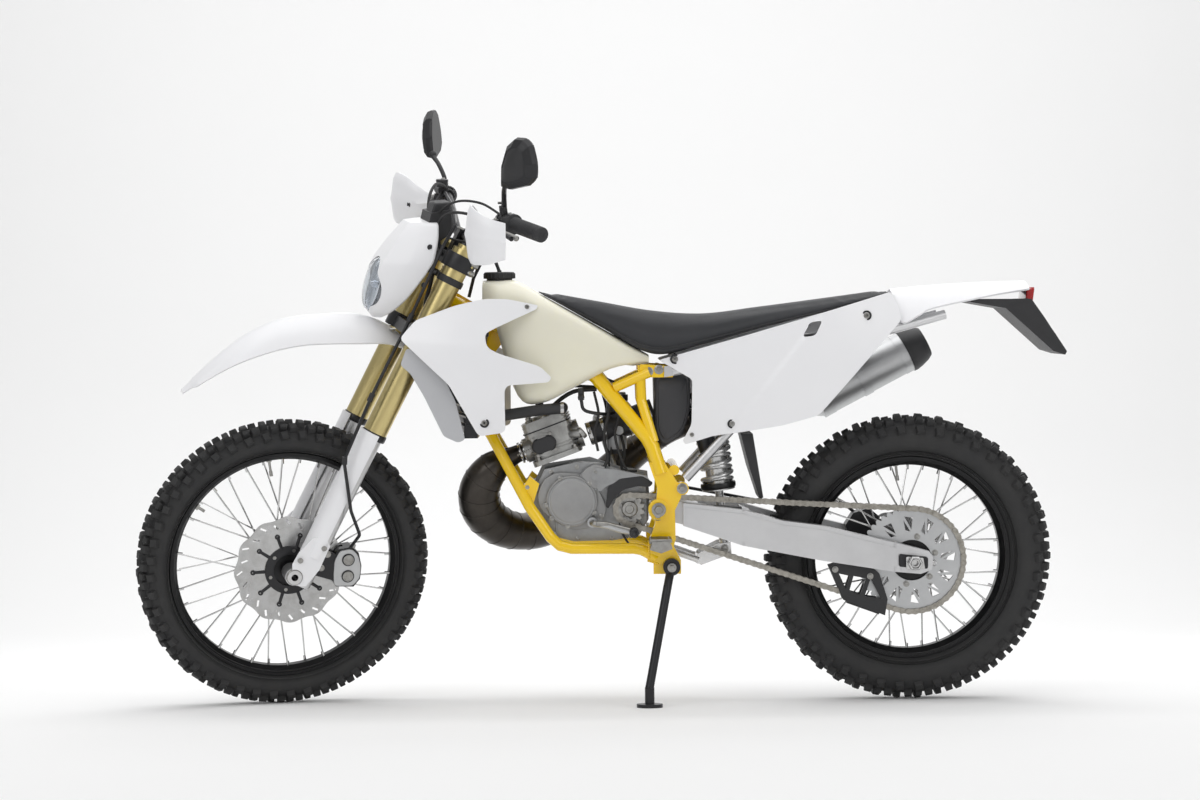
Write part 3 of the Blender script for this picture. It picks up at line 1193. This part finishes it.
for x, y, z in ((504, -109.3, 688.6), (668, -84.5, 705)):
    place = move(x, y, z) @ turn(90, "Y") @ turn(12, "Z")
    lathe(bm, [(13.1, -4), (14.4, -4), (14.4, 4), (13.1, 4)], place, 30, closed=True)
piece("hoseClamps", bm, standing, "brightSteel", "chassis", bevel=0.3)

# Carburettor: body, bowl, top and drain over the plain form
bm = bmesh.new()
rod(bm, (780, 0, 657), (814, 0, 664), 26.5, steps=40)
rod(bm, (795, 0, 672), (795, 0, 726), 22, steps=6)
rod(bm, (795, 0, 724), (795, 0, 738), 25, 21, steps=32)
rod(bm, (794, 0, 604), (794, 0, 648), 24.2, steps=32)
rod(bm, (794, 0, 592), (794, 0, 606), 9, steps=6)
rod(bm, (800, -26, 650), (800, -46, 650), 10.5, steps=24)
for s in (-1, 1):
    for dx in (-15, 15):
        rod(bm, (794 + dx, s * 15, 600), (794 + dx, s * 15, 652), 3.4, steps=12)
piece("carburettor", bm, standing, "castAlloy", "chassis", bevel=0.8)

# Fuel tap and hose
bm = bmesh.new()
rod(bm, (712, -84, 752), (712, -84, 724), 7, steps=16)
rod(bm, (712, -84, 730), (712, -100, 730), 8, 6, steps=16)
tube(bm, [(712, -84, 724), (720, -80, 700), (760, -60, 690), (786, -24, 690), (792, -14, 700)], 4, smooth=6)
piece("fuelTap", bm, standing, "blackPlastic", "chassis")

# Exhaust: welded seams round the chamber, mouth springs and a bracket
# Points along the chamber's middle, each with its radius
path = runRows([(586, 0, 604, 22), (552, 0, 591.6, 22), (500, 4, 562, 40), (467, 20, 512, 48), (470, 50, 458, 50),
                (506, 88, 416, 48), (560, 130, 396, 45), (622, 166, 404, 46), (700, 181, 456, 47),
                (780, 184, 534, 45), (850, 178, 592, 38), (920, 166, 634, 30), (1000, 158, 656, 24),
                (1100, 158, 664, 20), (1241, 160, 688, 20)], 8)
bm = bmesh.new()
rings = []
for i, (x, y, z, r) in enumerate(path):
    a, b = path[max(0, i - 1)], path[min(len(path) - 1, i + 1)]
    d = Vector((b[0] - a[0], b[1] - a[1], b[2] - a[2])).normalized()
    u = d.cross(Vector((0, 1, 0))).normalized()
    v = d.cross(u)
    rings.append((Vector((x, y, z)), u, v, r))
skin(bm, [[c + r * (math.cos(q) * u + math.sin(q) * v) for q in (2 * math.pi * k / 40 for k in range(40))]
          for c, u, v, r in rings])
pipe = piece("exhaustChamber", bm, standing, "pipeSteel", "chassis", 50)
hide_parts("exhaust_pipe")
bm = bmesh.new()
for i in (10, 16, 21, 26, 30, 35, 40, 45, 50, 56, 62, 68, 74, 80, 86, 92, 98):
    c, u, v, r = rings[i]
    angles = [2 * math.pi * k / 40 for k in range(40)]
    seam = [c + (r + 0.2) * (math.cos(q) * u + math.sin(q) * v) for q in angles]
    tube(bm, seam, 1.1, steps=6, smooth=1, wrap=True)
piece("exhaustSeams", bm, standing, "pipeSteel", "chassis", 60)
bm = bmesh.new()
for s in (-1, 1):
    run = []
    for k in range(70):
        a = 2 * math.pi * k / 10
        run.append((560 + 34 * k / 69 + 3.4 * math.cos(a) * 0.3, s * (29 + 3.4 * math.sin(a)),
                    594 + 13 * k / 69 + 3.4 * math.cos(a)))
    tube(bm, run, 0.9, steps=6, smooth=1)
for k in range(3):
    lathe(bm, [(22.2, 0), (25.2, 0), (25.6, 2.5), (25.2, 5), (22.2, 5)],
          move(588 - 9 * k, 0, 604.6 - 3.2 * k) @ turn(-110, "Y"), 36, closed=True)
piece("exhaustSprings", bm, standing, "brightSteel", "chassis", 60)
print("engine")

# Silencer: strap, rivets, black end cap and its outlet
silencer = {"start": (1248, 161, 690), "rise": 62.4, "shell": 49.4, "bands": ((46, 70), (264, 284))}
muffler = move(*silencer["start"]) @ turn(silencer["rise"], "Y")
bm = bmesh.new()
lathe(bm, [(49.7, 284), (52.5, 284), (53, 292), (50.5, 306), (44, 326), (38, 336), (36, 338), (20, 338), (17, 334),
           (16.2, 318), (15, 318), (15, 312), (30, 312), (49.7, 289)], muffler, 56, closed=True)
piece("silencerCap", bm, standing, "blackPlastic", "chassis", 40)
bm = bmesh.new()
for h in (52, 64, 270, 280):
    for k in range(12):
        place = muffler @ turn(30 * k, "Z") @ move(49.3, 0, h) @ turn(90, "Y")
        lathe(bm, [(0, 0), (3.2, 0), (2.4, 1.4), (0, 1.8)], place, 10)
lathe(bm, [(49.6, 150), (51.6, 150), (51.6, 172), (49.6, 172)], muffler, 64, closed=True)
for low, high in silencer["bands"]:
    r = silencer["shell"]
    lathe(bm, [(r, low), (r + 1.2, low), (r + 1.2, high), (r, high)], muffler, 64, closed=True)
for k in (-1, 1):
    bolt(bm, move(1390, 96, 862 + 8 * k) @ turn(90, "X"), 4)
piece("silencerBands", bm, standing, "silencerAlloy", "chassis", 40)
print("silencer")


# Handlebar dressing: grips, perches, levers, switches, cables, mirrors

def leverShape(bm, points, wide, thick):
    # Flat blade along points, tall across z
    path = through(points, 6)
    rings = []
    for i, p in enumerate(path):
        a, b = path[max(0, i - 1)], path[min(len(path) - 1, i + 1)]
        d = (b - a).normalized()
        u = d.cross(Vector((0, 0, 1))).normalized()
        v = u.cross(d)
        t = i / (len(path) - 1)
        w = wide * (1 - 0.35 * t)
        rings.append([p + u * thick * math.cos(q) + v * w * math.sin(q)
                      for q in (2 * math.pi * k / 14 for k in range(14))])
    skin(bm, rings)
    bmesh.ops.create_uvsphere(bm, u_segments=16, v_segments=10, radius=wide * 0.95,
                              matrix=Matrix.Translation(path[-1]))


def gripFrame(s):
    a, b = Vector((505, s * 405, 1162)), Vector((472, s * 268, 1171.7))
    d = (b - a).normalized()
    return Matrix.Translation(a) @ d.to_track_quat("Z", "Y").to_matrix().to_4x4()


bm = bmesh.new()
for s in (-1, 1):
    place = gripFrame(s)
    profile = [(6, -3), (15.6, -3), (17, -1), (17, 4)]
    h = 6
    while h < 112:
        profile += [(16.4, h), (17.2, h + 1.4), (17.2, h + 3.0), (16.4, h + 4.4)]
        h += 5.6
    profile += [(17.4, 116), (23, 119), (23, 124), (18, 127), (11.3, 127)]
    lathe(bm, profile, place, 40)
    lathe(bm, [(5.6, -4), (6.8, -4), (6.8, 2), (5.6, 2)], place, 24, closed=True)
piece("grips", bm, turned, "gripRubber", "front_fork", 50)
bm = bmesh.new()
for s in (-1, 1):
    place = gripFrame(s)
    lathe(bm, [(0, -2.8), (5.2, -2.8), (5.2, -2.2), (0, -2.2)], place, 24)
piece("barEnds", bm, turned, "boltSteel", "front_fork")

bm = bmesh.new()
for s in (-1, 1):
    place = gripFrame(s)
    # Switch pod and lever perch
    lathe(bm, [(11.4, 130), (19, 130), (20.5, 133), (20.5, 146), (19, 149), (11.4, 149)], place, 32, closed=True)
    lathe(bm, [(11.4, 152), (16.5, 152), (17, 154), (17, 168), (16.5, 170), (11.4, 170)], place, 32, closed=True)
    tube(bm, [(466, s * 244, 1172), (450, s * 250, 1170), (440, s * 262, 1168)], 8, smooth=4)
    rod(bm, (444, s * 258, 1160), (444, s * 258, 1178), 8.5, steps=28)
# Brake reservoir on the right, clutch perch and adjuster on the left
rod(bm, (448, 218, 1190), (448, 262, 1189), 12.5, steps=36)
rod(bm, (446, 222, 1198), (446, 222, 1212), 14, steps=36)
rod(bm, (446, 222, 1211), (446, 222, 1216), 15.5, 14.5, steps=36)
rod(bm, (446, -244, 1170), (430, -224, 1171), 6, steps=20)
rod(bm, (434, -230, 1171), (424, -218, 1171), 8, steps=20)
piece("perches", bm, turned, "blackMetal", "front_fork", bevel=0.8)
bm = bmesh.new()
for s in (-1, 1):
    leverShape(bm, [(446, s * 262, 1169), (430, s * 290, 1166), (434, s * 330, 1161), (447, s * 366, 1157),
                    (452, s * 392, 1154)], 7.0, 4.6)
    bolt(bm, move(444, s * 258, 1178), 4.2)
    rod(bm, (452, s * 249, 1214), (460, s * 249, 1214), 3)
piece("levers", bm, turned, "boltSteel", "front_fork", 60)
bm = bmesh.new()
for s in (-1, 1):
    for x, z in ((476, 1190), (482, 1188)):
        rod(bm, (x, s * 262, z - 3), (x - 1, s * 262, z + 3), 4.4, steps=20)
    rod(bm, (462, s * 251, 1196), (461, s * 251, 1208), 7.5, steps=6)
piece("switches", bm, turned, "blackPlastic", "front_fork", bevel=0.6)

# Cables and hoses from the bar to the head and the number plate
bm = bmesh.new()
for points, r in (
        ([(426, -220, 1171), (402, -180, 1182), (378, -110, 1176), (366, -52, 1146), (372, -34, 1096),
          (392, -40, 1030)], 3.4),
        ([(462, 236, 1186), (440, 190, 1206), (402, 120, 1214), (372, 60, 1186), (364, 30, 1120),
          (380, 26, 1050)], 3.6),
        ([(462, -236, 1186), (430, -180, 1206), (394, -100, 1200), (368, -30, 1160), (362, -8, 1100)], 2.8),
        ([(468, -262, 1158), (452, -200, 1146), (446, -130, 1108), (420, -60, 1104), (392, -30, 1110)], 2.6),
        ([(446, 222, 1188), (420, 180, 1168), (380, 130, 1142), (360, 110, 1100), (352, 96, 1050)], 3.4),
        ([(352, -60, 1080), (344, -66, 1020), (330, -62, 960), (336, -50, 930)], 3.6),
        ([(360, -52, 1090), (352, -58, 1030), (340, -54, 970), (350, -40, 936)], 2.8)):
    tube(bm, points, r, steps=10, smooth=7)
piece("barCables", bm, turned, "rubber", "front_fork")

# Bar clamps over the bar
bm = bmesh.new()
for s in (-1, 1):
    for k in (30, 47):
        lathe(bm, [(11.3, -1), (17.5, -1), (18, 1), (18, 8), (17.5, 10), (11.3, 10)],
              move(-4, s * k, 1240) @ turn(-90 * s, "X"), 36, closed=True)
piece("barClamps", bm, alongFork, "blackMetal", "front_fork", bevel=0.5)

# Mirrors: shells with a fold, and their glass
mirror = {"joint": (446, 326, 1266), "nod": -8, "swing": 62, "corner": 13, "crease": 3.2}
shape = soften([(-6, -8), (20, -14), (78, -4), (100, 12), (106, 44), (100, 84), (84, 98), (58, 100), (30, 84),
                (4, 40)], mirror["corner"], 4)
centre = Vector((50, 42))
bm = bmesh.new()
glass = bmesh.new()
for s in (-1, 1):
    place = move(*mirror["joint"]) @ turn(mirror["nod"], "Y") @ turn(mirror["swing"], "Z") @ turn(90, "X")
    if s < 0:
        place = Matrix.Scale(-1, 4, (0, 1, 0)) @ place
    levels = [(0.30, -22.5), (0.62, -20), (0.84, -14), (0.95, -7), (1.0, 0), (0.985, 5.5), (0.93, 6.6), (0.925, 4.6)]
    rings = []
    for k, h in levels:
        ring = []
        for p in shape:
            q = centre + (p - centre) * k
            crease = mirror["crease"] * math.exp(-(beside(q.x, q.y, (0, 0), (92, 92)) / 15) ** 2) if h < 0 else 0
            ring.append(place @ Vector((q.x, q.y, h - crease * (1 - k) * 2)))
        rings.append(ring)
    skin(bm, rings)
    skin(glass, [[place @ Vector((*(centre + (p - centre) * 0.93), h)) for p in shape] for h in (4.4, 5.0)])
    tube(bm, [(461, s * 259, 1196), (462, s * 261, 1216), (455, s * 286, 1244), (450, s * 314, 1260),
              (448, s * 326, 1268)], 5.4, smooth=6)
    rod(bm, (461, s * 259, 1188), (461, s * 259, 1206), 8, steps=6)
    bmesh.ops.create_uvsphere(bm, u_segments=20, v_segments=12, radius=9.5,
                              matrix=Matrix.Translation((449, s * 322, 1266)))
piece("mirrorShells", bm, turned, "blackPlastic", "front_fork", 34, bevel=0.6)
piece("mirrorGlass", glass, turned, "reflector", "front_fork")

# Hand guards: folded shields over the plain ones
# Plan position (x, y), lower edge and upper edge
guardRows = [(424, 262, 1134, 1178), (396, 280, 1108, 1196), (376, 304, 1098, 1214), (360, 338, 1096, 1222),
             (362, 374, 1096, 1214), (384, 404, 1100, 1200), (420, 420, 1112, 1190)]
bm = bmesh.new()
rings = []
for x, y, low, high in runRows(guardRows, 5):
    o = Vector((x, y))
    way = (Vector((440, 340)) - o).normalized()
    front, back = [], []
    for k in range(11):
        t = k / 10
        z = low + (high - low) * t
        fold = 7.5 * (1 - abs(2 * t - 1) ** 1.15) + 1.6 * math.exp(-((t - 0.5) / 0.05) ** 2)
        tuck = 4 * smoothStep((abs(2 * t - 1) - 0.82) / 0.18)
        p = o - way * (fold - tuck)
        front.append(Vector((p.x, p.y, z)))
        p = o - way * (fold - tuck - 3.2)
        back.append(Vector((p.x, p.y, z)))
    rings.append(front + back[::-1])
skin(bm, rings)
guards = piece("handShields", bm, turned, "whitePlastic", "front_fork", 34, mirror=True, bevel=0.8)
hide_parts("hand_guards")
bm = bmesh.new()
for s in (-1, 1):
    tube(bm, [(466, s * 262, 1168), (436, s * 268, 1158), (408, s * 276, 1150), (392, s * 288, 1150)], 6, smooth=5)
    bolt(bm, move(380, s * 290, 1150) @ turn(-90, "Y"), 5)
piece("shieldArms", bm, turned, "blackPlastic", "front_fork")
print("bars")

# Front mudguard bolts, fork bottom guard clip and brake parts

bm = bmesh.new()
for x in (216, 262):
    for y in (-26, 26):
        bolt(bm, move(x, y, 900) @ turn(180, "X"), 5)
piece("mudguardBolts", bm, turned, "boltSteel", "front_fork")
bm = bmesh.new()
for x, z in ((132, 328), (134, 368)):
    lathe(bm, [(0, 0), (12.5, 0), (12.5, 1.6), (10, 2.2), (9.4, 0.8), (0, 0.8)], facing(x, -94, z), 32)
    for k in range(2):
        rod(bm, (x - 5 + 10 * k, -95, z), (x - 5 + 10 * k, -95.6, z), 1.6, steps=12)
for x, z in ((70, 352), (86, 384)):
    bolt(bm, facing(x, -88, z), 5.4)
rod(bm, (146, -80, 388), (150, -80, 402), 6, steps=6)
rod(bm, (102, -64, 318), (158, -64, 312), 4, steps=16)
piece("frontBrakeBolts", bm, turned, "boltSteel", "front_fork", bevel=0.3)
bm = bmesh.new()
prism(bm, soften([(100, 306), (144, 303), (160, 320), (164, 350), (157, 380), (142, 394), (114, 391), (101, 368),
                  (98, 330)], 8), -92, -87)
piece("frontBrakeFace", bm, turned, "silencerAlloy", "front_fork", bevel=1.5)
bm = bmesh.new()
rod(bm, (119, -139.4, 611), (120, -138.8, 629), 6.4, steps=16)
rod(bm, (183.4, -118, 751), (192.6, -117.6, 769), 6.4, steps=16)
rod(bm, (279, -112.2, 931), (289, -112, 949), 6.4, steps=16)
piece("frontHoseClips", bm, turned, "blackPlastic", "front_fork")
print("front brake")

# Pegs with teeth, side stand spring, lever tips, links
bm = bmesh.new()
for s in (-1, 1):
    for k in range(8):
        for q in (0, 1):
            x, y = 868 + q * 42, s * (132 + 7.6 * k)
            skin(bm, [[(x + u * dx, y + v * dy, z) for u, v in ((-1, -1), (1, -1), (1, 1), (-1, 1))]
                      for dx, dy, z in ((3, 2.6, 398), (1.5, 0.8, 408.5))])
    rod(bm, (892, s * 112, 398), (892, s * 132, 398), 9, steps=20)
    rod(bm, (892, s * 126, 380), (892, s * 126, 408), 5.5, steps=16)
piece("pegTeeth", bm, standing, "boltSteel", "chassis", bevel=0.3)
bm = bmesh.new()
rod(bm, (831, -121, 419), (831, -160, 419), 10, steps=28)
for k in range(6):
    rod(bm, (831, -126 - 6 * k, 419), (831, -128.5 - 6 * k, 419), 11, steps=28)
rod(bm, (748, 132, 667), (748, 178, 668), 10.5, steps=28)
piece("leverRubbers", bm, standing, "gripRubber", "chassis", 50)
bm = bmesh.new()
tube(bm, [(735, -90, 439), (738, -112, 438), (768, -121, 434), (800, -122, 424), (828, -121, 419)], 7.6,
     smooth=6)
rod(bm, (735, -84, 439), (735, -98, 439), 12, steps=28)
bolt(bm, facing(735, -98, 439), 5)
piece("gearLever", bm, standing, "silencerAlloy", "chassis", 50)
print("controls")

# Shock: coil, collars and reservoir
shock = {"top": (1010, 0, 724), "foot": (1033, 0, 524), "turns": 7, "coil": 35, "wire": 5.6, "steps": 20}
bm = bmesh.new()
top, foot = Vector(shock["top"]), Vector(shock["foot"])
d = (foot - top).normalized()
u = Vector((0, 1, 0))
v = d.cross(u)
run = []
count = shock["turns"] * shock["steps"]
for k in range(count + 1):
    a = 2 * math.pi * k / shock["steps"]
    run.append(top + (foot - top) * k / count + shock["coil"] * (math.cos(a) * u + math.sin(a) * v))
tube(bm, run, shock["wire"], steps=12, smooth=1)
piece("coilSpring", bm, standing, "springSteel", "chassis", 60)
bm = bmesh.new()
way = Matrix.Translation(top) @ d.to_track_quat("Z", "Y").to_matrix().to_4x4()
lathe(bm, [(28, -14), (41, -14), (42, -10), (42, -2), (40, 0), (28, 0)], way, 48, closed=True)
lathe(bm, [(28, 204), (41, 204), (42, 208), (42, 214), (40, 218), (28, 218)], way, 48, closed=True)
for x, y in around(12, 42):
    rod(bm, way @ Vector((x, y, -12)), way @ Vector((x, y, -4)), 2.4, steps=8)
rod(bm, (980, -46, 700), (1010, -40, 600), 22, steps=40)
rod(bm, (979, -46.3, 706), (977, -46.6, 712), 19, steps=40)
piece("shockCollars", bm, standing, "blackMetal", "chassis", bevel=0.5)


# Radiator louvres, cores and caps

radiator = {"fins": 26, "low": 676, "pitch": 6.9, "across": (80, 146), "louvreOut": 166.5, "slats": 8}
bm = bmesh.new()
louvreOutline = soften([(301, 812), (316, 850), (352, 842), (392, 800), (426, 728), (446, 640), (430, 633),
                        (397, 648), (354, 740), (324, 792)], 8)
panel(bm, louvreOutline, lambda x, z: radiator["louvreOut"] - 0.03 * abs(z - 740), 2.6, 9.0)
for k in range(radiator["slats"]):
    place = move(388 + 4.5 * k, 128 + 1.5 * k, 690 + 22 * k) @ turn(20, "Y") @ turn(-16, "Z")
    w = 66.6 - 2 * k
    skin(bm, [[place @ Vector((x * w - 0.3, y, z)) for x, z in
               ((0, 1.6), (0.04, -0.4), (0.96, -0.4), (1, 1.6), (0.96, 5.4), (0.04, 5.4))] for y in (-0.4, 25)])
piece("radiatorLouvres", bm, standing, "greyPlastic", "chassis", 40, mirror=True, bevel=0.5)
bm = bmesh.new()
for k in range(radiator["fins"]):
    z = radiator["low"] + radiator["pitch"] * k
    x = 446 + 20 * (z - 668) / 190
    prism(bm, [(x - 1.2, z), (x + 27, z), (x + 27, z + 2.4), (x - 1.2, z + 2.4)], *radiator["across"])
piece("radiatorFins", bm, standing, "blackMetal", "chassis", mirror=True)
bm = bmesh.new()
for s in (-1, 1):
    lathe(bm, [(0, 890), (17, 890), (18, 892), (18, 897), (15, 899), (0, 899)], move(486, s * 120, 0), 40)
    lathe(bm, [(0, 898), (9, 898), (8, 902), (0, 903)], move(486, s * 120, 0), 6)
    rod(bm, (484, s * 80, 668), (500, s * 84, 652), 10, steps=28)
piece("radiatorCaps", bm, standing, "boltSteel", "chassis", bevel=0.4)

# Air box cover, with its rolled rim and ridge
bm = bmesh.new()
lid = soften([(884, 786), (964, 790), (966, 702), (949, 642), (903, 614), (886, 642)], 22, 7)
middle = sum(lid, Vector((0, 0))) / len(lid)
levels = [(1.0, 0), (1.0, 3.4), (0.975, 5.2), (0.93, 5.6), (0.9, 4.2), (0.86, 4.0), (0.82, 5.6), (0.3, 6.4)]
rings = [[Vector((middle.x + (p.x - middle.x) * k, -71 - h, middle.y + (p.y - middle.y) * k)) for p in lid]
         for k, h in levels]
skin(bm, rings)
piece("airboxCover", bm, standing, "airboxPlastic", "chassis", 28)

# Number-plate bracket: side gussets, back and a rolled edge
bm = bmesh.new()
gusset = soften([(1622, 947), (1660, 941), (1700, 930), (1738, 903), (1776, 861), (1809, 826), (1837, 817),
                 (1842, 823), (1812, 868), (1785, 905), (1758, 946)], 7)
for y in (-76, 73):
    prism(bm, gusset, y, y + 3)
prism(bm, soften([(1753, 944), (1758, 946), (1788, 904), (1842, 823), (1838, 818), (1782, 900)], 1.5), -74, 74)
piece("plateBracket", bm, standing, "blackPlastic", "chassis", 34, bevel=1.2)
bm = bmesh.new()
outline = soften([(1761, -46), (1771, -42), (1771, 42), (1761, 46), (1752, 46), (1752, -46)], 5)
skin(bm, [[Vector((p.x + (z - 960) * 0.12, p.y * k, z)) for p in outline] for z, k in
          ((938, 0.9), (941, 1.0), (968, 1.0), (973, 0.88))])
tail = piece("tailLens", bm, standing, "redLens", "chassis", 40, bevel=0.8)
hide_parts("tail_light")
bm = bmesh.new()
for k in range(7):
    for z in (949, 961):
        bmesh.ops.create_uvsphere(bm, u_segments=10, v_segments=6, radius=3.4,
                                  matrix=Matrix.Translation((1762, -33 + 11 * k, z)))
piece("tailDiodes", bm, standing, "reflector", "chassis")

# Front disc carrier and its rivets
bm = bmesh.new()
lathe(bm, [(38, -66.5), (57, -66.5), (58.5, -65.5), (58.5, -63), (38, -63)],
      acrossAxis @ Matrix.Scale(-1, 4, (0, 0, 1)), 60, closed=True)
for (x, z), (farX, farZ) in zip(around(10, 56), around(10, 86)):
    rod(bm, (x, -63.5, z), (farX, -63.5, farZ), 4.2, 3.6, steps=14)
    lathe(bm, [(2.6, 0), (6.2, 0), (6.2, 2), (5.2, 3), (2.6, 3)], facing(farX, -63.2, farZ), 20, closed=True)
piece("discCarrier", bm, frontHub, "blackMetal", "front_wheel", 40, bevel=0.4)

# Right side: clutch cover cap, kick lever knuckle, brake pedal tip and springs
bm = bmesh.new()
lathe(bm, [(0, 0), (17, 0), (18, 1), (18, 7), (16, 9), (0, 9)], facing(640, 103, 528), 8)
rod(bm, (798, 90, 500), (798, 124, 500), 13, steps=32)
bolt(bm, facing(798, 124, 500), 6)
rod(bm, (750, 124, 650), (750, 124, 676), 11, steps=28)
piece("rightCaps", bm, standing, "silencerAlloy", "chassis", bevel=0.6)
bm = bmesh.new()
standCoil = {"turns": 16, "steps": 12}
run = []
count = standCoil["turns"] * standCoil["steps"]
for k in range(count + 1):
    a = 2 * math.pi * k / standCoil["steps"]
    t = k / count
    run.append(Vector((905 - 16 * t + 5 * math.cos(a), -142 - 22 * t + 5 * math.sin(a), 300 - 74 * t)))
tube(bm, run, 1.1, steps=6, smooth=1)
piece("standSpring", bm, standing, "brightSteel", "stand")
bm = bmesh.new()
bolt(bm, facing(918, -140, 336), 7)
piece("standPivotBolt", bm, standing, "boltSteel", "chassis")

# Frame welds: beads where tubes meet plates

def bead(bm, a, b, r=2.6):
    a, b = Vector(a), Vector(b)
    n = max(2, int((b - a).length / 4.2))
    for k in range(n):
        p = a.lerp(b, (k + 0.5) / n)
        bmesh.ops.create_uvsphere(bm, u_segments=8, v_segments=6, radius=r,
                                  matrix=Matrix.Translation(p) @ Matrix.Scale(0.7, 4, (0, 1, 0)))


bm = bmesh.new()
for s in (-1, 1):
    for a, b in (((868, s * 114.4, 577), (905, s * 114.4, 577)), ((866, s * 114.4, 398), (866, s * 114.4, 356)),
                 ((846, s * 98.6, 779), (846, s * 98.6, 804)), ((862, s * 114.4, 350), (888, s * 114.4, 342)),
                 ((424, s * 22, 966), (398, s * 22, 908))):
        bead(bm, a, b)
piece("frameWelds", bm, standing, "framePaint", "chassis", 60)
print("details")


# Light, floor and camera
scene = bpy.context.scene
scene.view_settings.view_transform = "Standard"
world = bpy.data.worlds.new("studio")
scene.world = world
world.use_nodes = True
world.node_tree.nodes["Background"].inputs["Color"].default_value = (1, 1, 1, 1)
world.node_tree.nodes["Background"].inputs["Strength"].default_value = 0.42


def areaLight(name, at, target, size, power):
    data = bpy.data.lights.new(name, "AREA")
    data.energy, data.shape, data.size, data.size_y = power, "RECTANGLE", size[0], size[1]
    obj = bpy.data.objects.new(name, data)
    scene.collection.objects.link(obj)
    obj.location = at
    obj.rotation_mode = "QUATERNION"
    obj.rotation_quaternion = (Vector(target) - Vector(at)).to_track_quat("-Z", "Y")


studio = (
    ("above", (0, -0.6, 4.2), (0, 0, 0.4), (5, 3), 75), ("front", (-2.2, -4.0, 2.6), (0, 0, 0.6), (3, 2.4), 42),
    ("rear", (3.0, -3.4, 1.9), (0.2, 0, 0.6), (2, 2), 26), ("behind", (0.5, 2.6, 3.4), (0, 0, 0.6), (4, 2), 30),
    ("wall", (0, 1.2, 4.6), (0, 6.2, 1.6), (9, 2), 150),
)
for values in studio:
    areaLight(*values)

sheet = {"half": 14, "front": -12, "bend": 3.0, "top": 12, "steps": 12}
bend = sheet["bend"]
backdropBm = bmesh.new()
rows = []
for x in (-sheet["half"], sheet["half"]):
    run = [(sheet["front"], 0), (bend, 0)]
    for k in range(1, sheet["steps"] + 1):
        a = math.pi / 2 * k / sheet["steps"]
        run.append((bend * (1 + math.sin(a)), bend * (1 - math.cos(a))))
    run.append((2 * bend, sheet["top"]))
    rows.append([backdropBm.verts.new((x, y, z)) for y, z in run])
for k in range(len(rows[0]) - 1):
    backdropBm.faces.new((rows[0][k], rows[1][k], rows[1][k + 1], rows[0][k + 1]))
backdropMesh = bpy.data.meshes.new("backdrop")
backdropBm.to_mesh(backdropMesh)
backdropBm.free()
backdropMesh.shade_smooth()
backdrop = bpy.data.objects.new("backdrop", backdropMesh)
scene.collection.objects.link(backdrop)
backdropMesh.materials.append(finish("paper", (0.93, 0.93, 0.93, 1), (0.9, 0.9, 0.9, 1), 0.2, 1.0, rough=0.8))

view = {"distance": 4.9, "height": 0.42, "aim": (0.0, 0.715), "tilt": 0.48, "span": 2.83}
cameraData = bpy.data.cameras.new("camera")
camera = bpy.data.objects.new("camera", cameraData)
scene.collection.objects.link(camera)
scene.camera = camera
cameraData.sensor_width = 36
cameraData.lens = 36 * view["distance"] / view["span"]
camera.location = (view["aim"][0], 0.07 - view["distance"], view["height"])
camera.rotation_euler = (math.radians(90), math.radians(view["tilt"]), 0)
cameraData.shift_y = (view["aim"][1] - view["height"]) / view["span"]
cameraData.clip_end = 60
